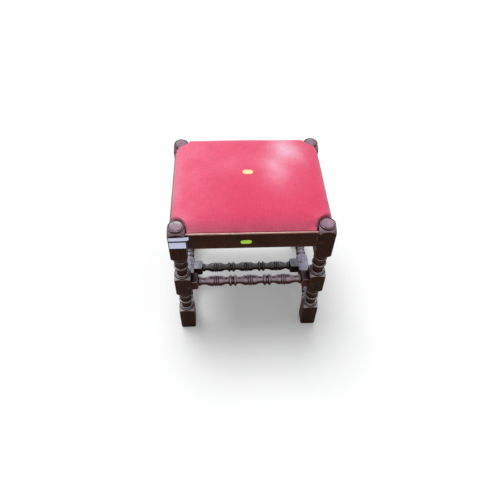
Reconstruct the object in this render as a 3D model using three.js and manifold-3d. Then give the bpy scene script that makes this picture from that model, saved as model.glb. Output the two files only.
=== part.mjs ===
// An upholstered footstool: four turned legs joined by rails and turned stretchers, and a padded
// seat that drops in between the rails. Millimetres, +Z up, +Y to the back. The origin is on the
// floor under the middle of the stool.

import * as THREE from "three";
import { mergeVertices } from "three/addons/utils/BufferGeometryUtils.js";
import Module from "manifold-3d";

const wasm = await Module();
wasm.setup();

// Fits that more than one piece shares
const fit = 0.3; // gap between two pieces that touch
const overrun = 6; // how far a cutting tool runs past what it cuts
const weld = 0.0001; // points closer than this are one point

// Legs
const legSpacingX = 378; // between the centres of the left and right legs
const legSpacingY = 324; // between the centres of the front and back legs
const legSquare = 44.5; // side of the square stock
const legChamfer = 2; // on the edges of the blocks
const footBlockHeight = 93;
const lowerTurningHeight = 87;
const middleBlockHeight = 70;
const upperTurningHeight = 90;
const topBlockHeight = 103;
const turningAllowance = 0.6; // from the face of the stock to the largest turned radius
const buttonRadius = 20;
const buttonHeight = 7;

// Rails
const railHeight = 54.5;
const railThickness = 22;
const railBelowBlockTop = 9; // from the top of the leg's top block down to the top of the rail
const railSetBackX = 3.25; // from the outer face of a leg to that of a side rail
const railSetBackY = 5.75; // from the outer face of a leg to that of the front or back rail
const railArris = 3; // radius of the worn outer top edge
const lipArris = 1; // radius of the inner edge of the lip
const lipWidth = 6; // of the lip that stands outside the seat
const rebateDepth = 16; // from the top of the rail down to the ledge that carries the seat

// Rail tenons
const railTenonThickness = 9;
const railTenonLength = 24; // of the side rails; the others stop short of these
const railTenonShoulder = 6; // above the rail's bottom edge
const railTenonCover = 4; // below the ledge of the rebate
const tenonWeb = 2; // wood left between two tenons that meet in a leg

// Stretchers
const stretcherStock = 34; // side of the square blocks
const stretcherChamfer = 1.5;
const discAllowance = 1; // from the face of the stock to the largest disc
const upperEndBlock = 19.75; // length of the square end of an upper stretcher
const upperOuterRing = 95.8; // from the middle to the outer ring
const upperDiscPair = 48.9; // from the middle to the pair of discs
const upperAboveMiddle = 2; // of the axis, above the middle of the middle block
const lowerBelowShoulder = 25; // of the axis, below the top of the foot block
const sideEndBlock = 20;
const sideMiddleBlock = 68; // length of the block half way along a side stretcher
const crossEndBlock = 27;
const crossOuterRing = 99.5;
const crossDiscPair = 49.7;
const crossTenonHeight = 16;
const ringWidth = 3.6;
const discWidth = 4.6;
const discGap = 9.4; // between the two discs of a pair
const collarWidth = 4;
const collarFillet = 1.6; // between the collar and the square end
const stretcherTenonThickness = 10;
const stretcherTenonHeight = 22;
const stretcherTenonLength = 22;

// Pegs
const pegRadius = 3.4;
const pegTaper = 0.5; // how much smaller the inner end is
const pegSetIn = 9; // from the shoulder to the middle of the peg
const pegBite = 4.5; // how far it goes on past the tenon
const pegProud = 0.3;

// Drop-in seat
const seatClearance = 0.5; // between the cover and the lip of the rails
const cornerHollowRadius = 39.5;
const cornerHollowSetOut = 13.1; // of its centre, outwards from the leg's axis both ways
const cornerClearance = 1; // between the cover and the pared corner of the leg
const frameThickness = 14;
const frameWidth = 45;
const frameTenonWidth = 18;
const frameTenonThickness = 6;
const frameTenonLength = 12;
const frameTenonSetIn = 4; // from the inner edge of the side member
const coverThickness = 1.2;
const stuffingEase = 0.8; // between the stuffing and the inside of the cover
const hemWidth = 26; // of the cover turned under the frame
const rollHeight = 21.3; // of the stuffed edge, from where it swells out over the lip
const rollWidth = 17; // from the edge of the seat in to the top of the stuffed edge
const crownHeight = 5.5; // of the middle above the stuffed edge
const bulgeX = 3; // how far the stuffing swells past the frame at the sides
const bulgeY = 1; // and at the front and back
const strapWidth = 50;
const strapThickness = 1.4;
const strapLap = 25; // of a strap's end on the frame
const strapPitchX = 100; // between the straps that run front to back
const strapPitchY = 80; // between the straps that run side to side
const strapRamp = 12; // length in which a strap passes from under to over
const hessianThickness = 0.8;
const hessianSetIn = 9;
const dustClothThickness = 0.8;

// Counts
const legSides = 12;
const stretcherSides = 10;
const pegSides = 8;
const arrisSteps = 3;
const hollowSides = 48;
const arcSteps = 5;
const edgeSteps = 3;
const strapsEachSide = 1; // besides the middle one, each way

// Turned outlines. Each row is a share of the length, then a share of the radius.
const legTurningShares = [
  [0, 0.99],
  [0.065, 0.99],
  [0.085, 0.89],
  [0.12, 0.95],
  [0.15, 0.93],
  [0.22, 0.67],
  [0.3, 0.75],
  [0.46, 0.86],
  [0.49, 0.9],
  [0.53, 0.9],
  [0.56, 0.81],
  [0.68, 0.81],
  [0.72, 0.88],
  [0.78, 0.88],
  [0.82, 0.8],
  [0.92, 0.82],
  [1, 0.95],
];
const buttonShares = [
  [0, 0.86],
  [0.2, 0.86],
  [0.32, 0.98],
  [0.55, 1],
  [0.82, 0.98],
  [1, 0.91],
];
const vaseShares = [
  [0.08, 0.91],
  [0.29, 0.94],
  [0.48, 0.81],
  [0.74, 0.54],
  [0.94, 0.58],
];
const ringShare = 0.975;
const discShare = 1;
const discNeckShare = 0.7;
const collarShare = 0.8;
const sideHalfShares = [
  [0, 0.84],
  [0.05, 0.93],
  [0.15, 0.93],
  [0.2, 0.74],
  [0.3, 0.91],
  [0.42, 0.96],
  [0.53, 0.91],
  [0.61, 0.74],
  [0.66, 0.9],
  [0.73, 0.9],
  [0.8, 0.68],
  [0.9, 0.86],
];
const sideMiddleShare = 0.97;

// Stuffed edge of the seat. Each row is a share of its width, of its height and of its bulge.
const rollShares = [
  [0, 0, 0],
  [0, 0.15, 0.7],
  [0, 0.33, 1],
  [0.09, 0.6, 0.8],
  [0.3, 0.82, 0.4],
  [0.6, 0.95, 0.1],
  [1, 1, 0],
];
const crownRingShares = [0.66, 0.33]; // of the way from the middle to the edge

// Finishes
const finishes = {
  darkOak: { color: 0x33201b, roughness: 0.5 },
  redOak: { color: 0x56302a, roughness: 0.45 },
  pegOak: { color: 0x2a1a16, roughness: 0.55 },
  beech: { color: 0xb08a5c, roughness: 0.7 },
  jute: { color: 0xa08458, roughness: 0.9 },
  hessian: { color: 0x8f744c, roughness: 0.95 },
  stuffing: { color: 0xcbbfa6, roughness: 1 },
  redCloth: { color: 0xd83f5a, roughness: 0.85 },
  blackCloth: { color: 0x1d1c1e, roughness: 0.95 },
};

// Places worked out from the sizes
const legX = legSpacingX / 2;
const legY = legSpacingY / 2;
const legHalf = legSquare / 2;
const legInnerX = legX - legHalf;
const legInnerY = legY - legHalf;
const middleBlockBottom = footBlockHeight + lowerTurningHeight;
const topBlockBottom = middleBlockBottom + middleBlockHeight + upperTurningHeight;
const topBlockTop = topBlockBottom + topBlockHeight;
const legTurnedRadius = legHalf - turningAllowance;

const railTop = topBlockTop - railBelowBlockTop;
const railBottom = railTop - railHeight;
const ledge = railTop - rebateDepth;
const railOuterX = legX + legHalf - railSetBackX;
const railOuterY = legY + legHalf - railSetBackY;
const railLineX = railOuterX - railThickness / 2;
const railLineY = railOuterY - railThickness / 2;

const stretcherHalf = stretcherStock / 2;
const stretcherRadius = stretcherHalf - discAllowance;
const upperLevel = middleBlockBottom + middleBlockHeight / 2 + upperAboveMiddle;
const lowerLevel = footBlockHeight - lowerBelowShoulder;
const sideBlockInnerX = legX - stretcherHalf;

const seatHalfX = railOuterX - lipWidth - seatClearance;
const seatHalfY = railOuterY - lipWidth - seatClearance;
const hollowX = legX + cornerHollowSetOut;
const hollowY = legY + cornerHollowSetOut;
const hemBottom = ledge + fit;
const frameBottom = hemBottom + coverThickness + fit;
const frameTop = frameBottom + frameThickness;
const frameSetIn = coverThickness + fit;
const frameInnerX = seatHalfX - frameSetIn - frameWidth;
const frameInnerY = seatHalfY - frameSetIn - frameWidth;
const strapLow = frameTop + fit + strapThickness / 2;
const strapHigh = strapLow + strapThickness + fit;
const hessianBottom = strapHigh + strapThickness / 2 + fit;
const stuffingBottom = hessianBottom + hessianThickness + fit;
const rollBottom = railTop + seatClearance;

const stool = new THREE.Group();
const ends = [-1, 1];

// Solids and meshes

// The solid that a closed geometry holds.
function solidOf(geometry) {
  const bare = geometry.clone();
  bare.deleteAttribute("normal");
  bare.deleteAttribute("uv");
  const merged = mergeVertices(bare, weld);
  return new wasm.Manifold(
    new wasm.Mesh({
      numProp: 3,
      vertProperties: merged.attributes.position.array,
      triVerts: new Uint32Array(merged.index.array),
    }),
  );
}

// A named mesh of a solid, added to the stool.
function addPiece(name, solid, finish) {
  const mesh = solid.getMesh();
  const geometry = new THREE.BufferGeometry();
  geometry.setAttribute("position", new THREE.BufferAttribute(mesh.vertProperties, mesh.numProp));
  geometry.setIndex(new THREE.BufferAttribute(mesh.triVerts, 1));
  geometry.computeVertexNormals();
  const material = new THREE.MeshStandardMaterial({ ...finishes[finish], metalness: 0 });
  material.flatShading = true;
  const piece = new THREE.Mesh(geometry, material);
  piece.name = name;
  stool.add(piece);
}

// A solid with each of the tools cut away.
function cutAll(solid, tools) {
  return tools.reduce((left, tool) => left.subtract(tool), solid);
}

// A box between two corners.
function box(low, high) {
  const [x, y, z] = high.map((value, i) => value - low[i]);
  const geometry = new THREE.BoxGeometry(x, y, z);
  geometry.translate(...high.map((value, i) => (value + low[i]) / 2));
  return geometry;
}

// A square block that stands on the XY plane, with all its edges chamfered.
function chamferedBlock(side, height, chamfer) {
  const half = side / 2;
  const near = half - chamfer;
  const outline = new THREE.Shape([
    new THREE.Vector2(half, -near),
    new THREE.Vector2(half, near),
    new THREE.Vector2(near, half),
    new THREE.Vector2(-near, half),
    new THREE.Vector2(-half, near),
    new THREE.Vector2(-half, -near),
    new THREE.Vector2(-near, -half),
    new THREE.Vector2(near, -half),
  ]);
  const geometry = new THREE.ExtrudeGeometry(outline, {
    depth: height - 2 * chamfer,
    bevelSize: chamfer,
    bevelThickness: chamfer,
    bevelOffset: -chamfer,
    bevelSegments: 1,
  });
  geometry.translate(0, 0, chamfer);
  return geometry;
}

// A turned shape along Z, closed on its axis at both ends. Each row is a height and a radius.
function turned(rows, sides) {
  const profile = [
    new THREE.Vector2(0, rows[0][0]),
    ...rows.map(([height, radius]) => new THREE.Vector2(radius, height)),
    new THREE.Vector2(0, rows.at(-1)[0]),
  ];
  const geometry = new THREE.LatheGeometry(profile, sides);
  geometry.rotateX(Math.PI / 2);
  return geometry;
}

// Rows of a turned outline, from a table of shares.
function scaledRows(shares, start, length, radius) {
  return shares.map(([along, out]) => [start + along * length, out * radius]);
}

// Tenons, mortises and pegs

// Everything at one end of a member that runs into a post. It is worked out with the member along
// +X, its shoulder at X = 0 and its axis at Z = 0, and then turned and moved into place.
function tenonJoint({ place, angle, width, height, length, peg }) {
  const matrix = new THREE.Matrix4().makeRotationZ(angle).setPosition(...place);
  const put = (geometry) => solidOf(geometry.applyMatrix4(matrix));
  const w = width / 2;
  const h = height / 2;
  const joint = {
    tenon: put(box([-fit - overrun, -w, -h], [length, w, h])),
    mortise: put(box([-overrun, -w - fit, -h - fit], [length + fit, w + fit, h + fit])),
  };
  if (!peg) return joint;
  const thickness = peg.upright ? height : width;
  const head = peg.faceAt + pegProud;
  const pegLength = head + thickness / 2 + pegBite;
  const pegShape = (grow, longer) => {
    const shape = new THREE.CylinderGeometry(
      pegRadius + grow,
      pegRadius + grow - pegTaper,
      pegLength + longer,
      pegSides,
    );
    shape.translate(0, head - pegLength / 2, 0);
    if (peg.upright) shape.rotateX(Math.PI / 2);
    else if (peg.side < 0) shape.rotateZ(Math.PI);
    shape.translate(pegSetIn, 0, 0);
    return put(shape);
  };
  joint.peg = pegShape(0, 0);
  joint.pegHole = pegShape(fit, 2 * fit);
  return joint;
}

// Legs

// The solid of a leg whose axis is the Z axis, before its joints are cut.
function legBlank() {
  const blocks = [
    [0, footBlockHeight],
    [middleBlockBottom, middleBlockHeight],
    [topBlockBottom, topBlockHeight],
  ].map(([bottom, height]) => {
    const block = chamferedBlock(legSquare, height, legChamfer);
    block.translate(0, 0, bottom);
    return solidOf(block);
  });
  const spindle = turned(
    [
      [footBlockHeight / 2, legTurnedRadius * legTurningShares[0][1]],
      ...scaledRows(legTurningShares, footBlockHeight, lowerTurningHeight, legTurnedRadius),
      ...scaledRows(
        legTurningShares,
        middleBlockBottom + middleBlockHeight,
        upperTurningHeight,
        legTurnedRadius,
      ),
      ...scaledRows(buttonShares, topBlockTop, buttonHeight, buttonRadius),
    ],
    legSides,
  );
  return blocks.reduce((leg, block) => leg.add(block), solidOf(spindle));
}

// What is pared away from the inner corner of a leg top, so that the seat goes past it.
function paringTool(sx, sy) {
  const height = topBlockTop + buttonHeight + overrun - ledge;
  const kept = new THREE.CylinderGeometry(
    cornerHollowRadius - cornerClearance,
    cornerHollowRadius - cornerClearance,
    height + 2 * overrun,
    hollowSides,
  );
  kept.rotateX(Math.PI / 2);
  kept.translate(sx * hollowX, sy * hollowY, ledge + height / 2);
  const reach = legSquare + buttonRadius;
  const around = box(
    [sx * legX - reach, sy * legY - reach, ledge],
    [sx * legX + reach, sy * legY + reach, ledge + height],
  );
  return solidOf(around).subtract(solidOf(kept));
}

function addLegs(jointsOfLeg) {
  for (const sy of ends) {
    for (const sx of ends) {
      const name = legName(sx, sy);
      const leg = legBlank().translate(sx * legX, sy * legY, 0);
      addPiece(name, cutAll(leg, [paringTool(sx, sy), ...jointsOfLeg[name]]), "darkOak");
    }
  }
}

function legName(sx, sy) {
  return `leg_${sy < 0 ? "front" : "back"}_${sx < 0 ? "left" : "right"}`;
}

// Rails

// The section of a rail: Y is the height above its bottom edge, X is out from its middle line.
function railSection() {
  const half = railThickness / 2;
  const lipInside = half - lipWidth;
  const section = new THREE.Shape();
  section.moveTo(-half, 0);
  section.lineTo(half, 0);
  section.lineTo(half, railHeight - railArris);
  section.absarc(half - railArris, railHeight - railArris, railArris, 0, Math.PI / 2);
  section.lineTo(lipInside + lipArris, railHeight);
  section.absarc(
    lipInside + lipArris,
    railHeight - lipArris,
    lipArris,
    Math.PI / 2,
    Math.PI,
  );
  section.lineTo(lipInside, railHeight - rebateDepth);
  section.lineTo(-half, railHeight - rebateDepth);
  section.closePath();
  return section;
}

// A rail along X whose outer face looks to -Y, its middle at the origin and its bottom at Z = 0.
function railBlank(span) {
  const length = span - 2 * fit;
  const geometry = new THREE.ExtrudeGeometry(railSection(), {
    depth: length,
    bevelEnabled: false,
    curveSegments: arrisSteps,
  });
  geometry.rotateX(Math.PI / 2);
  geometry.rotateZ(-Math.PI / 2);
  geometry.translate(length / 2, 0, 0);
  return geometry;
}

function addRails(jointsOfLeg) {
  const tenonBottom = railBottom + railTenonShoulder;
  const tenonTop = ledge - railTenonCover;
  const level = (tenonBottom + tenonTop) / 2;
  const tenonHeight = tenonTop - tenonBottom;
  const frontTenonLength = railLineX - railTenonThickness / 2 - tenonWeb - legInnerX;
  const rails = [
    { side: "front", turn: 0, span: 2 * legInnerX, line: -railLineY },
    { side: "back", turn: Math.PI, span: 2 * legInnerX, line: railLineY },
    { side: "left", turn: -Math.PI / 2, span: 2 * legInnerY, line: -railLineX },
    { side: "right", turn: Math.PI / 2, span: 2 * legInnerY, line: railLineX },
  ];
  for (const { side, turn, span, line } of rails) {
    const alongX = side === "front" || side === "back";
    const geometry = railBlank(span);
    geometry.rotateZ(turn);
    geometry.translate(alongX ? 0 : line, alongX ? line : 0, railBottom);
    let rail = solidOf(geometry);
    for (const end of ends) {
      const joint = tenonJoint({
        place: alongX ? [end * legInnerX, line, level] : [line, end * legInnerY, level],
        angle: endAngle(alongX, end),
        width: railTenonThickness,
        height: tenonHeight,
        length: alongX ? frontTenonLength : railTenonLength,
        peg: {
          faceAt: alongX ? legY + legHalf - railLineY : legX + legHalf - railLineX,
          side: outwardSide(alongX, end, line),
        },
      });
      const sx = alongX ? end : Math.sign(line);
      const sy = alongX ? Math.sign(line) : end;
      rail = rail.add(joint.tenon).subtract(joint.pegHole);
      jointsOfLeg[legName(sx, sy)].push(joint.mortise, joint.pegHole);
      addPiece(`peg_rail_${side}_${endName(alongX, end)}`, joint.peg, "pegOak");
    }
    addPiece(`rail_${side}`, rail, "darkOak");
  }
}

// The turn about Z that points a joint out along its member.
function endAngle(alongX, end) {
  if (alongX) return end > 0 ? 0 : Math.PI;
  return (end * Math.PI) / 2;
}

// Which side of a joint, in the joint's own frame, looks out of the stool.
function outwardSide(alongX, end, line) {
  return alongX ? end * Math.sign(line) : -end * Math.sign(line);
}

function endName(alongX, end) {
  if (alongX) return end < 0 ? "left" : "right";
  return end < 0 ? "front" : "back";
}

// Stretchers

// Rows of a ring or disc at a place along a stretcher.
function beadRows(at, width, radius) {
  return [
    [at - width / 2, radius],
    [at + width / 2, radius],
  ];
}

// Rows of a vase that swells at one place and narrows at the other.
function vaseRows(swollen, narrow) {
  const rows = scaledRows(vaseShares, swollen, narrow - swollen, stretcherRadius);
  return swollen < narrow ? rows : rows.reverse();
}

// Half of a long stretcher's turning, from its middle ring out to its square end.
function longHalfRows({ half, outerRing, discPair }) {
  const ringRadius = ringShare * stretcherRadius;
  const discRadius = discShare * stretcherRadius;
  const neckRadius = discNeckShare * stretcherRadius;
  const collarRadius = collarShare * stretcherRadius;
  const innerDisc = discPair - discGap / 2 - discWidth / 2;
  const outerDisc = discPair + discGap / 2 + discWidth / 2;
  const collarEnd = half - collarFillet;
  return [
    [ringWidth / 2, ringRadius],
    ...vaseRows(ringWidth / 2, innerDisc - discWidth / 2),
    ...beadRows(innerDisc, discWidth, discRadius),
    ...beadRows(discPair, discGap / 2, neckRadius),
    ...beadRows(outerDisc, discWidth, discRadius),
    ...vaseRows(outerRing - ringWidth / 2, outerDisc + discWidth / 2),
    ...beadRows(outerRing, ringWidth, ringRadius),
    ...vaseRows(outerRing + ringWidth / 2, collarEnd - collarWidth),
    [collarEnd - collarWidth, collarRadius],
    [collarEnd, collarRadius],
    [half, neckRadius],
    [half + overrun, neckRadius],
  ];
}

// One turned part of a side stretcher, from the block half way along it to its square end.
function sideTurningRows(start, length) {
  const half = length / 2;
  const first = scaledRows(sideHalfShares, start, half, stretcherRadius);
  const mirrored = first.map(([at, radius]) => [2 * (start + half) - at, radius]).reverse();
  const inlet = sideHalfShares[0][1] * stretcherRadius;
  return [
    [start - overrun, inlet],
    ...first,
    [start + half, sideMiddleShare * stretcherRadius],
    ...mirrored,
    [start + length + overrun, inlet],
  ];
}

// A geometry made along Z, laid along X.
function laidAlongX(geometry) {
  return geometry.rotateY(Math.PI / 2);
}

// A square block along X from one place to another.
function stretcherBlock(from, to) {
  const block = laidAlongX(chamferedBlock(stretcherStock, to - from, stretcherChamfer));
  block.translate(from, 0, 0);
  return solidOf(block);
}

// A stretcher along X, its middle at the origin, without its tenons.
function stretcherBlank({ span, endBlock, middleBlock, outerRing, discPair }) {
  const end = span / 2 - fit;
  const half = span / 2 - endBlock;
  const parts = ends.map((side) =>
    side < 0 ? stretcherBlock(-end, -half) : stretcherBlock(half, end),
  );
  if (middleBlock) {
    const start = middleBlock / 2;
    const turning = turned(sideTurningRows(start, half - start), stretcherSides);
    const other = turning.clone().rotateX(Math.PI);
    parts.push(solidOf(laidAlongX(turning)), solidOf(laidAlongX(other)));
    parts.push(stretcherBlock(-start, start));
  } else {
    const rows = longHalfRows({ half, outerRing, discPair });
    const mirrored = rows.map(([at, radius]) => [-at, radius]).reverse();
    parts.push(solidOf(laidAlongX(turned([...mirrored, ...rows], stretcherSides))));
  }
  return parts.reduce((whole, part) => whole.add(part));
}

// Adds a stretcher with its tenons and pegs, and hands each of its mortises to the post it enters.
function addStretcher({ name, blank, alongX, span, line, level, tenonHeight, pegs, cuts, post }) {
  let stretcher = alongX ? blank : blank.rotate(0, 0, 90);
  stretcher = stretcher.translate(alongX ? 0 : line, alongX ? line : 0, level);
  for (const end of ends) {
    const at = (end * span) / 2;
    const joint = tenonJoint({
      place: alongX ? [at, line, level] : [line, at, level],
      angle: endAngle(alongX, end),
      width: stretcherTenonThickness,
      height: tenonHeight,
      length: stretcherTenonLength,
      peg: { ...pegs, side: outwardSide(alongX, end, line) },
    });
    stretcher = stretcher.add(joint.tenon).subtract(joint.pegHole);
    post(end).push(joint.mortise, joint.pegHole);
    addPiece(`peg_${name}_${endName(alongX, end)}`, joint.peg, "pegOak");
  }
  return cutAll(stretcher, cuts);
}

function addUpperStretchers(jointsOfLeg) {
  const span = 2 * legInnerX;
  const shape = {
    span,
    endBlock: upperEndBlock,
    outerRing: upperOuterRing,
    discPair: upperDiscPair,
  };
  for (const sy of ends) {
    const side = sy < 0 ? "front" : "back";
    const stretcher = addStretcher({
      name: `${side}_upper`,
      blank: stretcherBlank(shape),
      alongX: true,
      span,
      line: sy * legY,
      level: upperLevel,
      tenonHeight: stretcherTenonHeight,
      pegs: { faceAt: legHalf },
      cuts: [],
      post: (end) => jointsOfLeg[legName(end, sy)],
    });
    addPiece(`stretcher_${side}_upper`, stretcher, "redOak");
  }
}

function addLowerStretchers(jointsOfLeg) {
  const crossSpan = 2 * sideBlockInnerX;
  const cutsOfSide = { [-1]: [], 1: [] };
  const cross = addStretcher({
    name: "cross_lower",
    blank: stretcherBlank({
      span: crossSpan,
      endBlock: crossEndBlock,
      outerRing: crossOuterRing,
      discPair: crossDiscPair,
    }),
    alongX: true,
    span: crossSpan,
    line: 0,
    level: lowerLevel,
    tenonHeight: crossTenonHeight,
    pegs: { faceAt: stretcherHalf, upright: true },
    cuts: [],
    post: (end) => cutsOfSide[end],
  });
  addPiece("stretcher_cross_lower", cross, "darkOak");
  const sideSpan = 2 * legInnerY;
  for (const sx of ends) {
    const side = sx < 0 ? "left" : "right";
    const stretcher = addStretcher({
      name: `${side}_lower`,
      blank: stretcherBlank({
        span: sideSpan,
        endBlock: sideEndBlock,
        middleBlock: sideMiddleBlock,
      }),
      alongX: false,
      span: sideSpan,
      line: sx * legX,
      level: lowerLevel,
      tenonHeight: stretcherTenonHeight,
      pegs: { faceAt: legHalf },
      cuts: cutsOfSide[sx],
      post: (end) => jointsOfLeg[legName(sx, end)],
    });
    addPiece(`stretcher_${side}_lower`, stretcher, "darkOak");
  }
}

// Drop-in seat

// The outline of the seat as points, anticlockwise from above, each with how much it may bulge.
function seatOutline() {
  const sideEndY = hollowY - Math.sqrt(cornerHollowRadius ** 2 - (hollowX - seatHalfX) ** 2);
  const frontEndX = hollowX - Math.sqrt(cornerHollowRadius ** 2 - (hollowY - seatHalfY) ** 2);
  const from = Math.atan2(sideEndY - hollowY, seatHalfX - hollowX);
  const to = Math.atan2(seatHalfY - hollowY, frontEndX - hollowX);
  const sweep = (to > 0 ? to - 2 * Math.PI : to) - from;
  const quarter = [];
  for (let i = 0; i < edgeSteps; i++) {
    quarter.push({ x: seatHalfX, y: (sideEndY * i) / edgeSteps, bulge: [1, 0] });
  }
  for (let i = 0; i <= arcSteps; i++) {
    const angle = from + (sweep * i) / arcSteps;
    quarter.push({
      x: hollowX + cornerHollowRadius * Math.cos(angle),
      y: hollowY + cornerHollowRadius * Math.sin(angle),
      bulge: [0, 0],
    });
  }
  for (let i = edgeSteps - 1; i > 0; i--) {
    quarter.push({ x: (frontEndX * i) / edgeSteps, y: seatHalfY, bulge: [0, 1] });
  }
  const middle = { x: 0, y: seatHalfY, bulge: [0, 1] };
  const flip = (points, sx, sy) =>
    points.map(({ x, y, bulge }) => ({
      x: sx * x,
      y: sy * y,
      bulge: [sx * bulge[0], sy * bulge[1]],
    }));
  const rest = quarter.slice(1);
  return [
    ...quarter,
    middle,
    ...flip([...rest].reverse(), -1, 1),
    ...flip(quarter, -1, -1),
    ...flip([middle], 1, -1),
    ...flip([...rest].reverse(), 1, -1),
  ];
}

// One closed ring of the seat at a height, drawn in from the edge and swollen out again.
function seatRing(setIn, bulge, height) {
  const shareX = 1 - setIn / seatHalfX;
  const shareY = 1 - setIn / seatHalfY;
  return seatOutline().map(
    ({ x, y, bulge: [bx, by] }) =>
      new THREE.Vector3(x * shareX + bx * bulge * bulgeX, y * shareY + by * bulge * bulgeY, height),
  );
}

// The seat's outline drawn in and filled, as a flat plate between two heights.
function seatPlate(setIn, bottom, top) {
  const outline = new THREE.Shape(
    seatRing(setIn, 0, 0).map(({ x, y }) => new THREE.Vector2(x, y)),
  );
  const geometry = new THREE.ExtrudeGeometry(outline, { depth: top - bottom, bevelEnabled: false });
  geometry.translate(0, 0, bottom);
  return solidOf(geometry);
}

// Rings of the padded top from its middle out to the foot of the stuffed edge, a way in from the
// surface.
function paddedRings(setIn) {
  const crownAt = (share) => crownHeight * (1 - share ** 2);
  const top = rollBottom + rollHeight - setIn;
  const crown = [...crownRingShares].reverse().map((share) =>
    seatOutline().map(({ x, y }) => new THREE.Vector3(x * share, y * share, top + crownAt(share))),
  );
  const roll = rollShares.map(([across, up, out]) => {
    const drawnIn = across * rollWidth;
    const height = up * (rollHeight - setIn + crownAt(1 - drawnIn / seatHalfY));
    return seatRing(drawnIn + setIn, out, rollBottom + height);
  });
  return {
    middle: new THREE.Vector3(0, 0, top + crownAt(0)),
    rings: [...crown, ...roll.reverse()],
  };
}

// A closed surface through a row of rings, from one middle point to another.
function loft(first, rings, last) {
  const count = rings[0].length;
  const points = [first, ...rings.flat(), last];
  const at = (ring, i) => 1 + ring * count + (i % count);
  const faces = [];
  for (let i = 0; i < count; i++) {
    faces.push(0, at(0, i), at(0, i + 1));
    for (let ring = 0; ring + 1 < rings.length; ring++) {
      faces.push(at(ring, i), at(ring + 1, i), at(ring + 1, i + 1));
      faces.push(at(ring, i), at(ring + 1, i + 1), at(ring, i + 1));
    }
    faces.push(at(rings.length - 1, i), points.length - 1, at(rings.length - 1, i + 1));
  }
  const geometry = new THREE.BufferGeometry().setFromPoints(points);
  geometry.setIndex(faces);
  return solidOf(geometry);
}

function addCover() {
  const outer = paddedRings(0);
  const inner = paddedRings(coverThickness);
  const hem = [
    seatRing(0, 0, hemBottom),
    seatRing(hemWidth, 0, hemBottom),
    seatRing(hemWidth, 0, hemBottom + coverThickness),
    seatRing(coverThickness, 0, hemBottom + coverThickness),
  ];
  const rings = [...outer.rings, ...hem, ...inner.rings.reverse()];
  addPiece("seat_cover", loft(outer.middle, rings, inner.middle), "redCloth");
}

function addStuffing() {
  const setIn = coverThickness + stuffingEase;
  const { middle, rings } = paddedRings(setIn);
  const padded = rings.filter((ring) => ring[0].z > stuffingBottom);
  const base = new THREE.Vector3(0, 0, stuffingBottom);
  const rim = seatRing(setIn, 0, stuffingBottom);
  addPiece("seat_stuffing", loft(middle, [...padded, rim], base), "stuffing");
}

function addSeatFrame() {
  const allowed = seatPlate(frameSetIn, frameBottom - overrun, frameTop + overrun);
  const level = frameBottom + frameThickness / 2;
  const tenonX = frameInnerX + frameTenonSetIn + frameTenonWidth / 2;
  const mortises = { [-1]: [], 1: [] };
  for (const sx of ends) {
    const low = Math.min(sx * frameInnerX, sx * (frameInnerX + frameWidth));
    const length = frameInnerY - fit;
    let member = solidOf(box([low, -length, frameBottom], [low + frameWidth, length, frameTop]));
    for (const sy of ends) {
      const joint = tenonJoint({
        place: [sx * tenonX, sy * frameInnerY, level],
        angle: endAngle(false, sy),
        width: frameTenonWidth,
        height: frameTenonThickness,
        length: frameTenonLength,
      });
      member = member.add(joint.tenon);
      mortises[sy].push(joint.mortise);
    }
    addPiece(`seat_frame_${sx < 0 ? "left" : "right"}`, member.intersect(allowed), "beech");
  }
  for (const sy of ends) {
    const low = Math.min(sy * frameInnerY, sy * (frameInnerY + frameWidth));
    const member = solidOf(
      box([-seatHalfX, low, frameBottom], [seatHalfX, low + frameWidth, frameTop]),
    ).intersect(allowed);
    addPiece(`seat_frame_${sy < 0 ? "front" : "back"}`, cutAll(member, mortises[sy]), "beech");
  }
}

// A strap along X that goes under and over the straps it crosses. Its ends lie on the frame.
function strapSolid(reach, crossings) {
  const middleLine = [[-reach, strapLow]];
  for (const { at, over } of crossings) {
    if (!over) continue;
    const flat = strapWidth / 2 + fit;
    middleLine.push(
      [at - flat - strapRamp, strapLow],
      [at - flat, strapHigh],
      [at + flat, strapHigh],
      [at + flat + strapRamp, strapLow],
    );
  }
  middleLine.push([reach, strapLow]);
  const half = strapThickness / 2;
  const section = new THREE.Shape([
    ...middleLine.map(([along, up]) => new THREE.Vector2(along, up - half)),
    ...middleLine.reverse().map(([along, up]) => new THREE.Vector2(along, up + half)),
  ]);
  const geometry = new THREE.ExtrudeGeometry(section, { depth: strapWidth, bevelEnabled: false });
  geometry.rotateX(Math.PI / 2);
  geometry.translate(0, strapWidth / 2, 0);
  return geometry;
}

function addWebbing() {
  const steps = [];
  for (let i = -strapsEachSide; i <= strapsEachSide; i++) steps.push(i);
  const isOver = (long, short) => (long + short) % 2 !== 0;
  steps.forEach((long, i) => {
    const crossings = steps.map((short) => ({ at: short * strapPitchX, over: isOver(long, short) }));
    const strap = strapSolid(frameInnerX + strapLap, crossings);
    strap.translate(0, long * strapPitchY, 0);
    addPiece(`webbing_long_${i + 1}`, solidOf(strap), "jute");
  });
  steps.forEach((short, i) => {
    const crossings = steps.map((long) => ({ at: long * strapPitchY, over: !isOver(long, short) }));
    const strap = strapSolid(frameInnerY + strapLap, crossings);
    strap.rotateZ(Math.PI / 2);
    strap.translate(short * strapPitchX, 0, 0);
    addPiece(`webbing_short_${i + 1}`, solidOf(strap), "jute");
  });
}

function addSeatSheets() {
  const hessian = seatPlate(hessianSetIn, hessianBottom, hessianBottom + hessianThickness);
  addPiece("seat_hessian", hessian, "hessian");
  const dustClothTop = frameBottom - fit;
  const dustCloth = seatPlate(hemWidth + fit, dustClothTop - dustClothThickness, dustClothTop);
  addPiece("seat_dust_cloth", dustCloth, "blackCloth");
}

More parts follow.
